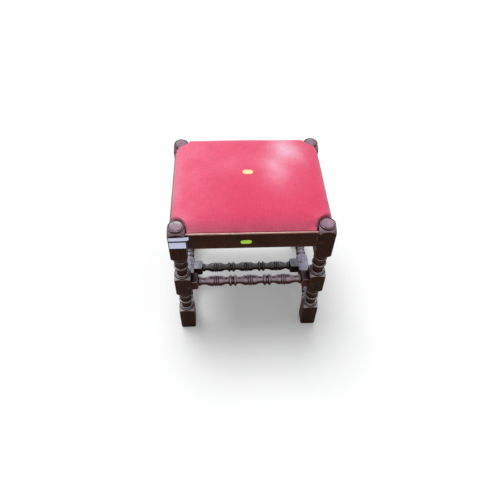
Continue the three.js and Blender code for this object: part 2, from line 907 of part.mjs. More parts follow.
const jointsOfLeg = Object.fromEntries(
  ends.flatMap((sx) => ends.map((sy) => [legName(sx, sy), []])),
);
addRails(jointsOfLeg);
addUpperStretchers(jointsOfLeg);
addLowerStretchers(jointsOfLeg);
addLegs(jointsOfLeg);
addSeatFrame();
addWebbing();
addSeatSheets();
addStuffing();
addCover();

export default stool;
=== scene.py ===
"""An upholstered footstool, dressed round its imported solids: turned oak, red cloth and a pale floor."""

import logging
import math
from contextlib import contextmanager
from dataclasses import dataclass, field, replace
from enum import Enum
from typing import Callable, Iterator, Sequence

import bpy
import numpy as np
from mathutils import Matrix, Vector


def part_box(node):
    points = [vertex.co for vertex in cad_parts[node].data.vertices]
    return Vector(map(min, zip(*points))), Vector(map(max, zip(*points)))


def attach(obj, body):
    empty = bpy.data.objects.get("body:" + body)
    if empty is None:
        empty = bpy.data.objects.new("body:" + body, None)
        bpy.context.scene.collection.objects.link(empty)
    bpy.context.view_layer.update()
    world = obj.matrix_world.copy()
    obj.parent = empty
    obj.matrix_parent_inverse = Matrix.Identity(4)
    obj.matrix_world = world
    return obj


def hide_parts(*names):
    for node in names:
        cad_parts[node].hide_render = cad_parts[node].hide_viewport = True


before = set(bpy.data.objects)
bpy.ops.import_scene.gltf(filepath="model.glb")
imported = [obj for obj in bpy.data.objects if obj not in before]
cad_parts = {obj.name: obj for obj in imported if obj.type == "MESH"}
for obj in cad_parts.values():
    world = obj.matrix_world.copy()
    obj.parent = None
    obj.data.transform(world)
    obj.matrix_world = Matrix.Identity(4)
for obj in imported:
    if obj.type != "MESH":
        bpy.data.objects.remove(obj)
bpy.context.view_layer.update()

log = logging.getLogger("footstool")

MM = 0.001
ENDS = (-1, 1)
WELD = 0.001 * MM  # points closer than this are merged
OVERRUN = 6 * MM  # how far a cutting piece runs past what it cuts
HIDDEN_GAP = 0.3 * MM  # between two pieces that touch

Row = tuple[float, float]
Colour = tuple[float, float, float]


class Body(Enum):
    """The two rigid bodies of the stool."""

    FRAME = "stool_frame"
    SEAT = "drop_in_seat"


class Slot(Enum):
    """The record's material slots."""

    DARK_OAK = "dark_oak"
    RED_OAK = "red_oak"
    PEG_OAK = "peg_oak"
    BEECH = "beech"
    WEBBING = "jute_webbing"
    HESSIAN = "hessian"
    STUFFING = "stuffing"
    RED_CLOTH = "red_cloth"
    BLACK_CLOTH = "black_cloth"


class Axis(Enum):
    """The direction that a piece, and its grain, runs in."""

    X = (1, 0, 0)
    Y = (0, 1, 0)
    Z = (0, 0, 1)

    @property
    def along(self) -> Vector:
        """The unit vector along the axis."""
        return Vector(self.value)

    @property
    def out(self) -> Vector:
        """A unit vector square to the axis, in which a turned outline is drawn."""
        return Vector((0, 0, 1)) if self is not Axis.Z else Vector((1, 0, 0))


# Modelling, by the operators that a hand would use


def clear_selection() -> None:
    """Deselect everything, because an operator acts on all that is selected."""
    bpy.ops.object.select_all(action="DESELECT")


def make_active(piece: bpy.types.Object) -> None:
    """Select one piece alone and make it the active one.

    Args:
        piece: The piece to work on.
    """
    clear_selection()
    piece.select_set(True)
    bpy.context.view_layer.objects.active = piece


@contextmanager
def editing(piece: bpy.types.Object, picks: str = "VERT") -> Iterator[None]:
    """Hold a piece in edit mode.

    Args:
        piece: The piece to shape.
        picks: What is picked: VERT, EDGE or FACE.
    """
    make_active(piece)
    bpy.context.tool_settings.mesh_select_mode = [picks == kind for kind in ("VERT", "EDGE", "FACE")]
    bpy.ops.object.mode_set(mode="EDIT")
    try:
        yield
    finally:
        bpy.ops.object.mode_set(mode="OBJECT")


def named(piece: bpy.types.Object, name: str) -> bpy.types.Object:
    """Name a piece and its mesh, and move its place into the mesh.

    Args:
        piece: A new piece.
        name: Its name.

    Returns:
        The same piece.
    """
    piece.name = name
    piece.data.name = name
    make_active(piece)
    bpy.ops.object.transform_apply(location=True, rotation=True, scale=True)
    return piece


def block(name: str, low: Sequence[float], high: Sequence[float]) -> bpy.types.Object:
    """Add a square block of stock between two corners.

    Args:
        name: The piece's name.
        low: The lowest corner.
        high: The highest corner.

    Returns:
        The block.
    """
    low, high = Vector(low), Vector(high)
    clear_selection()
    bpy.ops.mesh.primitive_cube_add(size=1, location=(low + high) / 2, scale=high - low)
    return named(bpy.context.object, name)


def pick_edges(piece: bpy.types.Object, wanted: Callable[[Vector, Vector], bool]) -> None:
    """Select the edges whose two ends pass a test.

    Args:
        piece: The piece, in object mode.
        wanted: Takes the two ends of an edge.
    """
    mesh = piece.data
    for parts in (mesh.vertices, mesh.edges, mesh.polygons):
        parts.foreach_set("select", [False] * len(parts))
    for edge in mesh.edges:
        start, end = (mesh.vertices[i].co for i in edge.vertices)
        edge.select = wanted(start, end)


def pick_faces(piece: bpy.types.Object, wanted: Callable[[Vector, Vector], bool]) -> None:
    """Select the faces whose middle and normal pass a test.

    Args:
        piece: The piece, in object mode.
        wanted: Takes a face's middle and its normal.
    """
    mesh = piece.data
    for parts in (mesh.vertices, mesh.edges, mesh.polygons):
        parts.foreach_set("select", [False] * len(parts))
    for face in mesh.polygons:
        face.select = wanted(face.center, face.normal)


def round_edges(
    piece: bpy.types.Object,
    radius: float,
    steps: int,
    wanted: Callable[[Vector, Vector], bool],
) -> None:
    """Round some edges of a piece.

    Args:
        piece: The piece.
        radius: The radius of the rounding.
        steps: How many faces go round it.
        wanted: Takes the two ends of an edge.
    """
    pick_edges(piece, wanted)
    with editing(piece, "EDGE"):
        bpy.ops.mesh.bevel(offset=radius, segments=steps, affect="EDGES")


def slice_along(piece: bpy.types.Object, axis: Axis, places: Sequence[float]) -> None:
    """Cut new edges round a piece, square to an axis, and keep both sides.

    Args:
        piece: The piece.
        axis: The axis that the cuts are square to.
        places: Where they lie along it.
    """
    with editing(piece):
        for place in places:
            bpy.ops.mesh.select_all(action="SELECT")
            bpy.ops.mesh.bisect(plane_co=axis.along * place, plane_no=axis.along)


def roughen(piece: bpy.types.Object, amount: float, seed: int) -> None:
    """Move every point a little, as a hand plane and long use leave it.

    Args:
        piece: The piece.
        amount: The most that a point moves.
        seed: Which draw it is.
    """
    with editing(piece):
        bpy.ops.mesh.select_all(action="SELECT")
        bpy.ops.transform.vertex_random(offset=amount, uniform=1, normal=0, seed=seed)


def apply_modifier(piece: bpy.types.Object, kind: str, **settings: object) -> None:
    """Put a modifier on a piece and apply it.

    Args:
        piece: The piece.
        kind: The modifier's type.
        **settings: Its values.
    """
    modifier = piece.modifiers.new(kind.lower(), kind)
    for key, value in settings.items():
        setattr(modifier, key, value)
    make_active(piece)
    bpy.ops.object.modifier_apply(modifier=modifier.name)


def cut(piece: bpy.types.Object, tool: bpy.types.Object, operation: str = "DIFFERENCE") -> None:
    """Cut a piece with another, which is used up.

    Args:
        piece: The piece that stays.
        tool: The piece that cuts it.
        operation: DIFFERENCE, INTERSECT or UNION.
    """
    apply_modifier(piece, "BOOLEAN", operation=operation, solver="EXACT", object=tool)
    bpy.data.objects.remove(tool)


def turned(name: str, rows: Sequence[Row], axis: Axis, steps: int) -> bpy.types.Object:
    """Turn a solid on a lathe: its outline is extruded point by point and spun round the axis.

    Args:
        name: The piece's name.
        rows: Places along the axis and radii, from one closed end to the other.
        axis: The lathe's axis, through the origin.
        steps: How many faces go round.

    Returns:
        The turned solid.
    """
    points = [axis.along * at + axis.out * radius for at, radius in rows]
    clear_selection()
    bpy.ops.mesh.primitive_plane_add(size=MM, location=points[0])
    piece = named(bpy.context.object, name)
    with editing(piece):
        bpy.ops.mesh.select_all(action="SELECT")
        bpy.ops.mesh.merge(type="CENTER")
        for start, end in zip(points, points[1:]):
            bpy.ops.mesh.extrude_region_move(TRANSFORM_OT_translate={"value": end - start})
        bpy.ops.mesh.select_all(action="SELECT")
        bpy.ops.mesh.spin(steps=steps, angle=math.tau, center=(0, 0, 0), axis=axis.along)
        bpy.ops.mesh.select_all(action="SELECT")
        bpy.ops.mesh.remove_doubles(threshold=WELD)
        bpy.ops.mesh.normals_make_consistent(inside=False)
    return piece


def copied(piece: bpy.types.Object, name: str, move: Matrix) -> bpy.types.Object:
    """Copy a piece with a mesh of its own, and put the copy in place.

    Args:
        piece: The piece to copy.
        name: The copy's name.
        move: Where the copy goes.

    Returns:
        The copy, its place in its mesh.
    """
    copy = piece.copy()
    copy.data = piece.data.copy()
    copy.name = name
    copy.data.name = name
    copy.data.transform(move)
    bpy.context.scene.collection.objects.link(copy)
    return copy


def joined(name: str, pieces: Sequence[bpy.types.Object]) -> bpy.types.Object:
    """Join pieces into one.

    Args:
        name: The new piece's name.
        pieces: What is joined.

    Returns:
        The one piece.
    """
    make_active(pieces[0])
    for piece in pieces:
        piece.select_set(True)
    bpy.ops.object.join()
    return named(bpy.context.object, name)


def from_mesh(name: str, points: Sequence[Sequence[float]], faces: Sequence[Sequence[int]]) -> bpy.types.Object:
    """Make a soft piece from points and faces.

    Args:
        name: The piece's name.
        points: Its points.
        faces: Its faces, as places in the list of points.

    Returns:
        The piece.
    """
    mesh = bpy.data.meshes.new(name)
    mesh.from_pydata([tuple(p) for p in points], [], [tuple(f) for f in faces])
    mesh.update()
    piece = bpy.data.objects.new(name, mesh)
    bpy.context.scene.collection.objects.link(piece)
    return piece


def smooth(piece: bpy.types.Object, degrees: float = 32) -> None:
    """Shade a piece smooth, with the edges sharper than an angle left sharp.

    Args:
        piece: The piece.
        degrees: The angle.
    """
    make_active(piece)
    bpy.ops.object.shade_smooth_by_angle(angle=math.radians(degrees))


def corners_of(piece: bpy.types.Object) -> np.ndarray:
    """The points of a piece's mesh as rows of x, y and z."""
    points = np.empty(len(piece.data.vertices) * 3)
    piece.data.vertices.foreach_get("co", points)
    return points.reshape(-1, 3)


def move_points(piece: bpy.types.Object, points: np.ndarray) -> None:
    """Give every point of a piece its new place.

    Args:
        piece: The piece.
        points: Rows of x, y and z.
    """
    piece.data.vertices.foreach_set("co", points.ravel())
    piece.data.update()


# Outlines for the lathe. Each is a list of rows: a place along the axis and a radius.


def bead(start: float, end: float, foot: float, crest: float, steps: int = 8, fullness: float = 0.8) -> list[Row]:
    """A half-round bead.

    Args:
        start: Where it begins.
        end: Where it ends.
        foot: The radius at both ends.
        crest: The radius of its middle.
        steps: How many lengths it has.
        fullness: 1 for a half circle, and less for a squarer bead.

    Returns:
        Its rows.
    """
    rows = []
    for i in range(steps + 1):
        turn = math.pi * i / steps
        rise = max(math.sin(turn), 0) ** fullness
        rows.append(((start + end) / 2 - (end - start) / 2 * math.cos(turn), foot + (crest - foot) * rise))
    return rows


def flowing(points: Sequence[Row], steps: int = 5) -> list[Row]:
    """A smooth outline through some points, without overshoot.

    Args:
        points: The rows that it passes through.
        steps: How many lengths lie between two of them.

    Returns:
        Its rows.
    """
    slopes = [(b[1] - a[1]) / (b[0] - a[0]) for a, b in zip(points, points[1:])]
    tangents = [slopes[0]]
    for before, after in zip(slopes, slopes[1:]):
        tangents.append(0 if before * after <= 0 else 2 * before * after / (before + after))
    tangents.append(slopes[-1])
    rows = [points[0]]
    for (a, b), (m0, m1) in zip(zip(points, points[1:]), zip(tangents, tangents[1:])):
        span = b[0] - a[0]
        for i in range(1, steps + 1):
            t = i / steps
            rows.append(
                (
                    a[0] + t * span,
                    a[1] * (1 + 2 * t) * (1 - t) ** 2
                    + m0 * span * t * (1 - t) ** 2
                    + b[1] * t**2 * (3 - 2 * t)
                    + m1 * span * t**2 * (t - 1),
                )
            )
    return rows


def reversed_about(rows: Sequence[Row], middle: float) -> list[Row]:
    """The same outline seen from its other end.

    Args:
        rows: The outline.
        middle: The place that it is turned about.

    Returns:
        The rows, in rising order.
    """
    return [(2 * middle - at, radius) for at, radius in reversed(rows)]


# Node trees


class NodeSheet:
    """A node tree, with short ways to put nodes on it and join them."""

    def __init__(self, tree: bpy.types.NodeTree) -> None:
        """Start with a tree.

        Args:
            tree: A material's, the world's or a group's tree.
        """
        self.tree = tree

    def node(self, kind: str, **settings: object) -> bpy.types.Node:
        """Add a node.

        Args:
            kind: The node's type.
            **settings: Its properties.

        Returns:
            The node.
        """
        node = self.tree.nodes.new(kind)
        for key, value in settings.items():
            setattr(node, key, value)
        return node

    def feed(self, socket: bpy.types.NodeSocket, value: object) -> None:
        """Link a socket to another, or set it to a value.

        Args:
            socket: An input.
            value: An output to link, or a number, vector or colour.
        """
        if isinstance(value, bpy.types.NodeSocket):
            self.tree.links.new(value, socket)
        elif isinstance(value, (tuple, Vector)) and socket.type == "RGBA":
            socket.default_value = (*value, 1)
        else:
            socket.default_value = value

    def maths(self, operation: str, *values: object, clamp: bool = False) -> bpy.types.NodeSocket:
        """Work out a number.

        Args:
            operation: The Math node's operation.
            *values: Its inputs.
            clamp: Whether the result is kept from 0 to 1.

        Returns:
            The result.
        """
        node = self.node("ShaderNodeMath", operation=operation, use_clamp=clamp)
        for socket, value in zip(node.inputs, values):
            self.feed(socket, value)
        return node.outputs[0]

    def vector(self, operation: str, *values: object) -> bpy.types.NodeSocket:
        """Work out a vector, or a number from vectors.

        Args:
            operation: The Vector Math node's operation.
            *values: Its inputs.

        Returns:
            The result.
        """
        node = self.node("ShaderNodeVectorMath", operation=operation)
        for socket, value in zip(node.inputs, values):
            self.feed(socket, value)
        return node.outputs["Value" if operation in ("LENGTH", "DOT_PRODUCT", "DISTANCE") else "Vector"]

    def eased(self, value: object, low: object, high: object, start: float = 0, end: float = 1) -> bpy.types.NodeSocket:
        """Carry a number smoothly from one range to another.

        Args:
            value: The number.
            low: Where it starts to rise.
            high: Where it stops.
            start: The result below low.
            end: The result above high.

        Returns:
            The result.
        """
        node = self.node("ShaderNodeMapRange", interpolation_type="SMOOTHSTEP")
        for name, number in zip(("Value", "From Min", "From Max", "To Min", "To Max"), (value, low, high, start, end)):
            self.feed(node.inputs[name], number)
        return node.outputs["Result"]

    def noise(self, place: object, stretch: Sequence[float], detail: float = 2, blur: float = 0.5) -> bpy.types.NodeSocket:
        """Noise that is finer one way than another.

        Args:
            place: The coordinates, in metres.
            stretch: How many times a metre it changes, along X, Y and Z.
            detail: How many finer layers it has.
            blur: How strong the finer layers are.

        Returns:
            A number from 0 to 1.
        """
        node = self.node("ShaderNodeTexNoise")
        self.feed(node.inputs["Vector"], self.vector("MULTIPLY", place, tuple(stretch)))
        self.feed(node.inputs["Scale"], 1.0)
        self.feed(node.inputs["Detail"], detail)
        self.feed(node.inputs["Roughness"], blur)
        return node.outputs["Fac"]

    def mixed(self, share: object, first: object, second: object, how: str = "MIX") -> bpy.types.NodeSocket:
        """Mix two colours.

        Args:
            share: How much of the second.
            first: A colour.
            second: Another colour.
            how: The blend type.

        Returns:
            The colour.
        """
        node = self.node("ShaderNodeMix", data_type="RGBA", blend_type=how)
        for place, value in ((0, share), (6, first), (7, second)):
            self.feed(node.inputs[place], value)
        return node.outputs[2]

    def effect(self, group: bpy.types.NodeTree, **values: object) -> bpy.types.Node:
        """Place an effect that several materials share.

        Args:
            group: The effect's group.
            **values: Its inputs, with underscores for the spaces in their names.

        Returns:
            The group node.
        """
        node = self.node("ShaderNodeGroup", node_tree=group)
        for key, value in values.items():
            self.feed(node.inputs[key.replace("_", " ")], value)
        return node


@dataclass(frozen=True)
class Effect:
    """A shader node group: its name, its inputs and its outputs."""

    name: str
    inputs: tuple[tuple[str, str], ...]
    outputs: tuple[str, ...]

    def start(self) -> tuple[NodeSheet, bpy.types.Node, bpy.types.Node]:
        """Make the empty group.

        Returns:
            Its sheet, and the nodes that hold its inputs and its outputs.
        """
        tree = bpy.data.node_groups.new(self.name, "ShaderNodeTree")
        for name, kind in self.inputs:
            tree.interface.new_socket(name, in_out="INPUT", socket_type=kind)
        for name in self.outputs:
            tree.interface.new_socket(name, in_out="OUTPUT", socket_type="NodeSocketFloat")
        sheet = NodeSheet(tree)
        return sheet, sheet.node("NodeGroupInput"), sheet.node("NodeGroupOutput")


class Effects:
    """The effects that more than one finish uses, each built once."""

    def __init__(self) -> None:
        """Build them all."""
        self.grain = self._grain()
        self.wear_and_highlight = self._wear_and_highlight()
        self.grime_and_shade = self._grime_and_shade()
        self.polish_and_sheen = self._polish_and_sheen()
        self.weave = self._weave()
        self.patch = self._patch()

    @staticmethod
    def _grain() -> bpy.types.NodeTree:
        """Sawn wood with its grain along Z: rings, fibres and open pores."""
        effect = Effect("wood_grain", (("Vector", "NodeSocketVector"), ("Ring Width", "NodeSocketFloat")), ("Rings", "Fibres", "Pores"))
        sheet, given, result = effect.start()
        place = given.outputs["Vector"]
        drift = sheet.noise(place, (16, 16, 3.5), detail=3)
        across = sheet.vector("MULTIPLY", place, (1.0, 1.0, 0.015))
        from_pith = sheet.vector("LENGTH", sheet.vector("SUBTRACT", across, (0.071, -0.046, 0.0)))
        bent = sheet.maths("ADD", from_pith, sheet.maths("MULTIPLY", drift, 0.014))
        turn = sheet.maths("MULTIPLY", sheet.maths("DIVIDE", bent, given.outputs["Ring Width"]), math.tau)
        rings = sheet.eased(sheet.maths("SINE", turn), -0.9, 1.0)
        fibres = sheet.noise(place, (620, 620, 13), detail=4, blur=0.62)
        pores = sheet.noise(place, (1500, 1500, 70), detail=1)
        sheet.feed(result.inputs["Rings"], rings)
        sheet.feed(result.inputs["Fibres"], fibres)
        sheet.feed(result.inputs["Pores"], sheet.maths("MULTIPLY", sheet.eased(pores, 0.56, 0.68), sheet.eased(rings, 0.2, 0.8)))
        return sheet.tree

    @staticmethod
    def _wear_and_highlight() -> bpy.types.NodeTree:
        """Where an edge stands out: paler from rubbing, and where a highlight is painted on."""
        effect = Effect("edge_wear_and_highlight", (("Vector", "NodeSocketVector"), ("Radius", "NodeSocketFloat")), ("Mask",))
        sheet, given, result = effect.start()
        rounded = sheet.node("ShaderNodeBevel", samples=6)
        sheet.feed(rounded.inputs["Radius"], given.outputs["Radius"])
        surface = sheet.node("ShaderNodeNewGeometry")
        bend = sheet.maths("SUBTRACT", 1.0, sheet.vector("DOT_PRODUCT", rounded.outputs["Normal"], surface.outputs["Normal"]))
        uneven = sheet.noise(given.outputs["Vector"], (75, 75, 75), detail=4, blur=0.65)
        mask = sheet.maths("MULTIPLY", sheet.eased(bend, 0.004, 0.14), sheet.eased(uneven, 0.3, 0.62))
        sheet.feed(result.inputs["Mask"], mask)
        return sheet.tree

    @staticmethod
    def _grime_and_shade() -> bpy.types.NodeTree:
        """Where old wax and dirt settle and where shade is painted: grooves, corners, joints and hollows, as ambient
        occlusion finds them.
        """
        effect = Effect("settled_grime_and_shade", (("Vector", "NodeSocketVector"), ("Reach", "NodeSocketFloat"), ("Clean", "NodeSocketFloat"), ("Full", "NodeSocketFloat")), ("Mask",))
        sheet, given, result = effect.start()
        closed = sheet.node("ShaderNodeAmbientOcclusion", samples=8)
        sheet.feed(closed.inputs["Distance"], given.outputs["Reach"])
        uneven = sheet.noise(given.outputs["Vector"], (90, 90, 90), detail=3)
        open_share = sheet.maths("ADD", closed.outputs["AO"], sheet.eased(uneven, 0.2, 0.8, -0.1, 0.1))
        sheet.feed(result.inputs["Mask"], sheet.eased(open_share, given.outputs["Clean"], given.outputs["Full"]))
        return sheet.tree

    @staticmethod
    def _polish_and_sheen() -> bpy.types.NodeTree:
        """The faces that look up: where the wax coat is kept, and where sheen is painted on."""
        effect = Effect("kept_polish_and_sheen", (("Vector", "NodeSocketVector"),), ("Mask", "Level"))
        sheet, given, result = effect.start()
        apart = sheet.node("ShaderNodeSeparateXYZ")
        sheet.feed(apart.inputs[0], sheet.node("ShaderNodeNewGeometry").outputs["Normal"])
        uneven = sheet.noise(given.outputs["Vector"], (110, 110, 110), detail=4, blur=0.6)
        mask = sheet.maths("MULTIPLY", sheet.eased(apart.outputs[2], 0.3, 0.95), sheet.eased(uneven, 0.3, 0.66, 0.62, 1.0))
        sheet.feed(result.inputs["Mask"], mask)
        sheet.feed(result.inputs["Level"], sheet.eased(apart.outputs[2], 0.95, 0.99))
        return sheet.tree

    @staticmethod
    def _weave() -> bpy.types.NodeTree:
        """A plain weave: each thread goes over one and under the next."""
        effect = Effect("plain_weave", (("Vector", "NodeSocketVector"), ("Pitch", "NodeSocketFloat")), ("Height", "Shade"))
        sheet, given, result = effect.start()
        wander = sheet.node("ShaderNodeTexNoise")
        sheet.feed(wander.inputs["Vector"], given.outputs["Vector"])
        sheet.feed(wander.inputs["Scale"], 45.0)
        drift = sheet.vector("SCALE", sheet.vector("SUBTRACT", wander.outputs["Color"], (0.5, 0.5, 0.5)))
        sheet.feed(drift.node.inputs["Scale"], 0.0016)
        place = sheet.vector("DIVIDE", sheet.vector("ADD", given.outputs["Vector"], drift), given.outputs["Pitch"])
        apart = sheet.node("ShaderNodeSeparateXYZ")
        sheet.feed(apart.inputs[0], place)
        threads = []
        for this, other, offset in ((0, 1, 0.0), (1, 0, 1.0)):
            turn = sheet.maths("MULTIPLY", apart.outputs[this], math.pi)
            round_thread = sheet.maths("ABSOLUTE", sheet.maths("SINE", turn))
            parity = sheet.maths("ADD", sheet.maths("FLOOR", apart.outputs[this]), offset)
            along = sheet.maths("MULTIPLY", sheet.maths("ADD", apart.outputs[other], parity), math.pi)
            over = sheet.maths("MULTIPLY_ADD", sheet.maths("SINE", along), 0.5, 0.5)
            threads.append(sheet.maths("MULTIPLY", round_thread, over))
        sheet.feed(result.inputs["Height"], sheet.maths("MAXIMUM", *threads))
        sheet.feed(result.inputs["Shade"], sheet.maths("SUBTRACT", threads[0], threads[1]))
        return sheet.tree

    @staticmethod
    def _patch() -> bpy.types.NodeTree:
        """A soft round patch, strongest in its middle."""
        effect = Effect(
            "soft_patch",
            (("Vector", "NodeSocketVector"), ("Centre", "NodeSocketVector"), ("Reach", "NodeSocketVector")),
            ("Mask",),
        )
        sheet, given, result = effect.start()
        away = sheet.vector("DIVIDE", sheet.vector("SUBTRACT", given.outputs["Vector"], given.outputs["Centre"]), given.outputs["Reach"])
        squared = sheet.maths("POWER", sheet.vector("LENGTH", away), 2.0)
        sheet.feed(result.inputs["Mask"], sheet.maths("POWER", math.e, sheet.maths("MULTIPLY", squared, -1.0)))
        return sheet.tree


EFFECTS = Effects()


def new_material(name: str) -> tuple[bpy.types.Material, NodeSheet, bpy.types.Node]:
    """Make a material with one Principled shader.

    Args:
        name: The material's name.

    Returns:
        The material, its sheet and its shader.
    """
    material = bpy.data.materials.new(name)
    material.use_nodes = True
    sheet = NodeSheet(material.node_tree)
    return material, sheet, material.node_tree.nodes["Principled BSDF"]


def bumped(sheet: NodeSheet, shader: bpy.types.Node, height: object, depth: float) -> None:
    """Give a shader a bumpy normal.

    Args:
        sheet: The material's sheet.
        shader: Its shader.
        height: The height, from 0 to 1.
        depth: How deep the bumps are, in metres.
    """
    bump = sheet.node("ShaderNodeBump")
    sheet.feed(bump.inputs["Distance"], depth)
    sheet.feed(bump.inputs["Height"], height)
    sheet.feed(shader.inputs["Normal"], bump.outputs["Normal"])


GRAIN_TURNS = {
    Axis.X: (0.0, -math.pi / 2, 0.0),
    Axis.Y: (math.pi / 2, 0.0, 0.0),
    Axis.Z: (0.0, 0.0, 0.0),
}


@dataclass(frozen=True)
class WoodFinish:
    """A wood, as it looks on a piece whose grain runs along one axis."""

    name: str
    deep: Colour
    pale: Colour
    # The edge colour: abrasion on the arrises, and a painted highlight on the crests.
    worn_and_highlight: Colour
    # The darkest colour: it fills the pores, and darkens hollows as dirt and painted shade.
    grime_and_shade: Colour
    roughness: float
    wax: float
    wear_and_highlight_share: float
    # Painted sheen: the colours that faces looking up are lightened towards, at the seat's height, lower down and on
    # flat tops lower down, and how far they are.
    upper_sheen: Colour = (0.19, 0.16, 0.19)
    lower_sheen: Colour = (0.30, 0.28, 0.33)
    flat_lower_sheen: Colour = (0.52, 0.56, 0.70)
    sheen_share: float = 0.22
    ring_width: float = 3.1 * MM
    wear_and_highlight_radius: float = 2.6 * MM
    grime_and_shade_reach: float = 9 * MM
    grime_and_shade_span: tuple[float, float] = (0.72, 0.25)  # how open a place is where there is none, and where it is full
    bump_depth: float = 0.12 * MM

    def material(self, axis: Axis) -> bpy.types.Material:
        """The wood's material for a grain direction, made once.

        Args:
            axis: The direction of the grain.

        Returns:
            The material.
        """
        name = f"{self.name}_{axis.name.lower()}"
        found = bpy.data.materials.get(name)
        return found or self._made(name, axis)

    def _made(self, name: str, axis: Axis) -> bpy.types.Material:
        """Build the material.

        Args:
            name: Its name.
            axis: The direction of the grain.

        Returns:
            The material.
        """
        material, sheet, shader = new_material(name)
        place = sheet.node("ShaderNodeTexCoord").outputs["Object"]
        turn = sheet.node("ShaderNodeMapping")
        sheet.feed(turn.inputs["Vector"], place)
        sheet.feed(turn.inputs["Rotation"], GRAIN_TURNS[axis])
        grain = sheet.effect(EFFECTS.grain, Vector=turn.outputs["Vector"], Ring_Width=self.ring_width)
        wear_and_highlight = sheet.effect(EFFECTS.wear_and_highlight, Vector=place, Radius=self.wear_and_highlight_radius).outputs["Mask"]
        clean, full = self.grime_and_shade_span
        grime_and_shade = sheet.effect(EFFECTS.grime_and_shade, Vector=place, Reach=self.grime_and_shade_reach, Clean=clean, Full=full).outputs["Mask"]
        blotches = sheet.noise(place, (22, 22, 22), detail=3)
        fibres, rings, pores = (grain.outputs[key] for key in ("Fibres", "Rings", "Pores"))
        figure = sheet.maths("ADD", sheet.maths("MULTIPLY", rings, 0.35), sheet.maths("MULTIPLY", fibres, 0.65))
        figure = sheet.maths("MULTIPLY", sheet.eased(figure, 0.2, 0.8), sheet.eased(blotches, 0.25, 0.7, 0.35, 1.0))
        colour = sheet.mixed(figure, self.deep, self.pale)
        # Painted highlight and abrasion: edges that stand out are lightened, less so where dark settles in hollows.
        lightened_edges = sheet.maths("MULTIPLY", wear_and_highlight, sheet.maths("SUBTRACT", 1.0, grime_and_shade), clamp=True)
        lightened_edges = sheet.maths("MULTIPLY", lightened_edges, self.wear_and_highlight_share)
        colour = sheet.mixed(lightened_edges, colour, self.worn_and_highlight)
        colour = sheet.mixed(sheet.maths("MULTIPLY", pores, 0.6), colour, self.grime_and_shade)
        # Painted sheen: faces that look up are lightened, with one colour at the seat's height and others lower down.
        kept = sheet.effect(EFFECTS.polish_and_sheen, Vector=place).outputs
        polish_and_sheen, lower_sheen = kept["Mask"], sheet.mixed(kept["Level"], self.lower_sheen, self.flat_lower_sheen)
        apart = sheet.node("ShaderNodeSeparateXYZ")
        sheet.feed(apart.inputs[0], place)
        sheen_colour = sheet.mixed(sheet.eased(apart.outputs[2], 0.43, 0.37), self.upper_sheen, lower_sheen)
        colour = sheet.mixed(sheet.maths("MULTIPLY", polish_and_sheen, self.sheen_share), colour, sheen_colour)
        # Painted shade and dirt: hollows and joints darken, as ambient occlusion finds them.
        colour = sheet.mixed(sheet.maths("MULTIPLY", grime_and_shade, 0.85), colour, self.grime_and_shade)
        sheet.feed(shader.inputs["Base Color"], colour)
        rough = sheet.eased(blotches, 0.3, 0.7, self.roughness - 0.06, self.roughness + 0.08)
        rough = sheet.maths("MULTIPLY_ADD", grime_and_shade, 0.22, rough)
        rough = sheet.maths("MULTIPLY_ADD", pores, 0.15, rough, clamp=True)
        sheet.feed(shader.inputs["Roughness"], rough)
        kept = sheet.maths("MULTIPLY", polish_and_sheen, sheet.maths("MULTIPLY_ADD", grime_and_shade, -0.8, 1.0))
        sheet.feed(shader.inputs["Coat Weight"], sheet.maths("MULTIPLY", kept, self.wax, clamp=True))
        shader.inputs["Coat Roughness"].default_value = 0.3
        shader.inputs["Coat IOR"].default_value = 2.1
        shader.inputs["Specular IOR Level"].default_value = 0.03
        height = sheet.maths("MULTIPLY_ADD", fibres, 0.5, sheet.maths("MULTIPLY", pores, -0.8))
        bumped(sheet, shader, height, self.bump_depth)
        return material


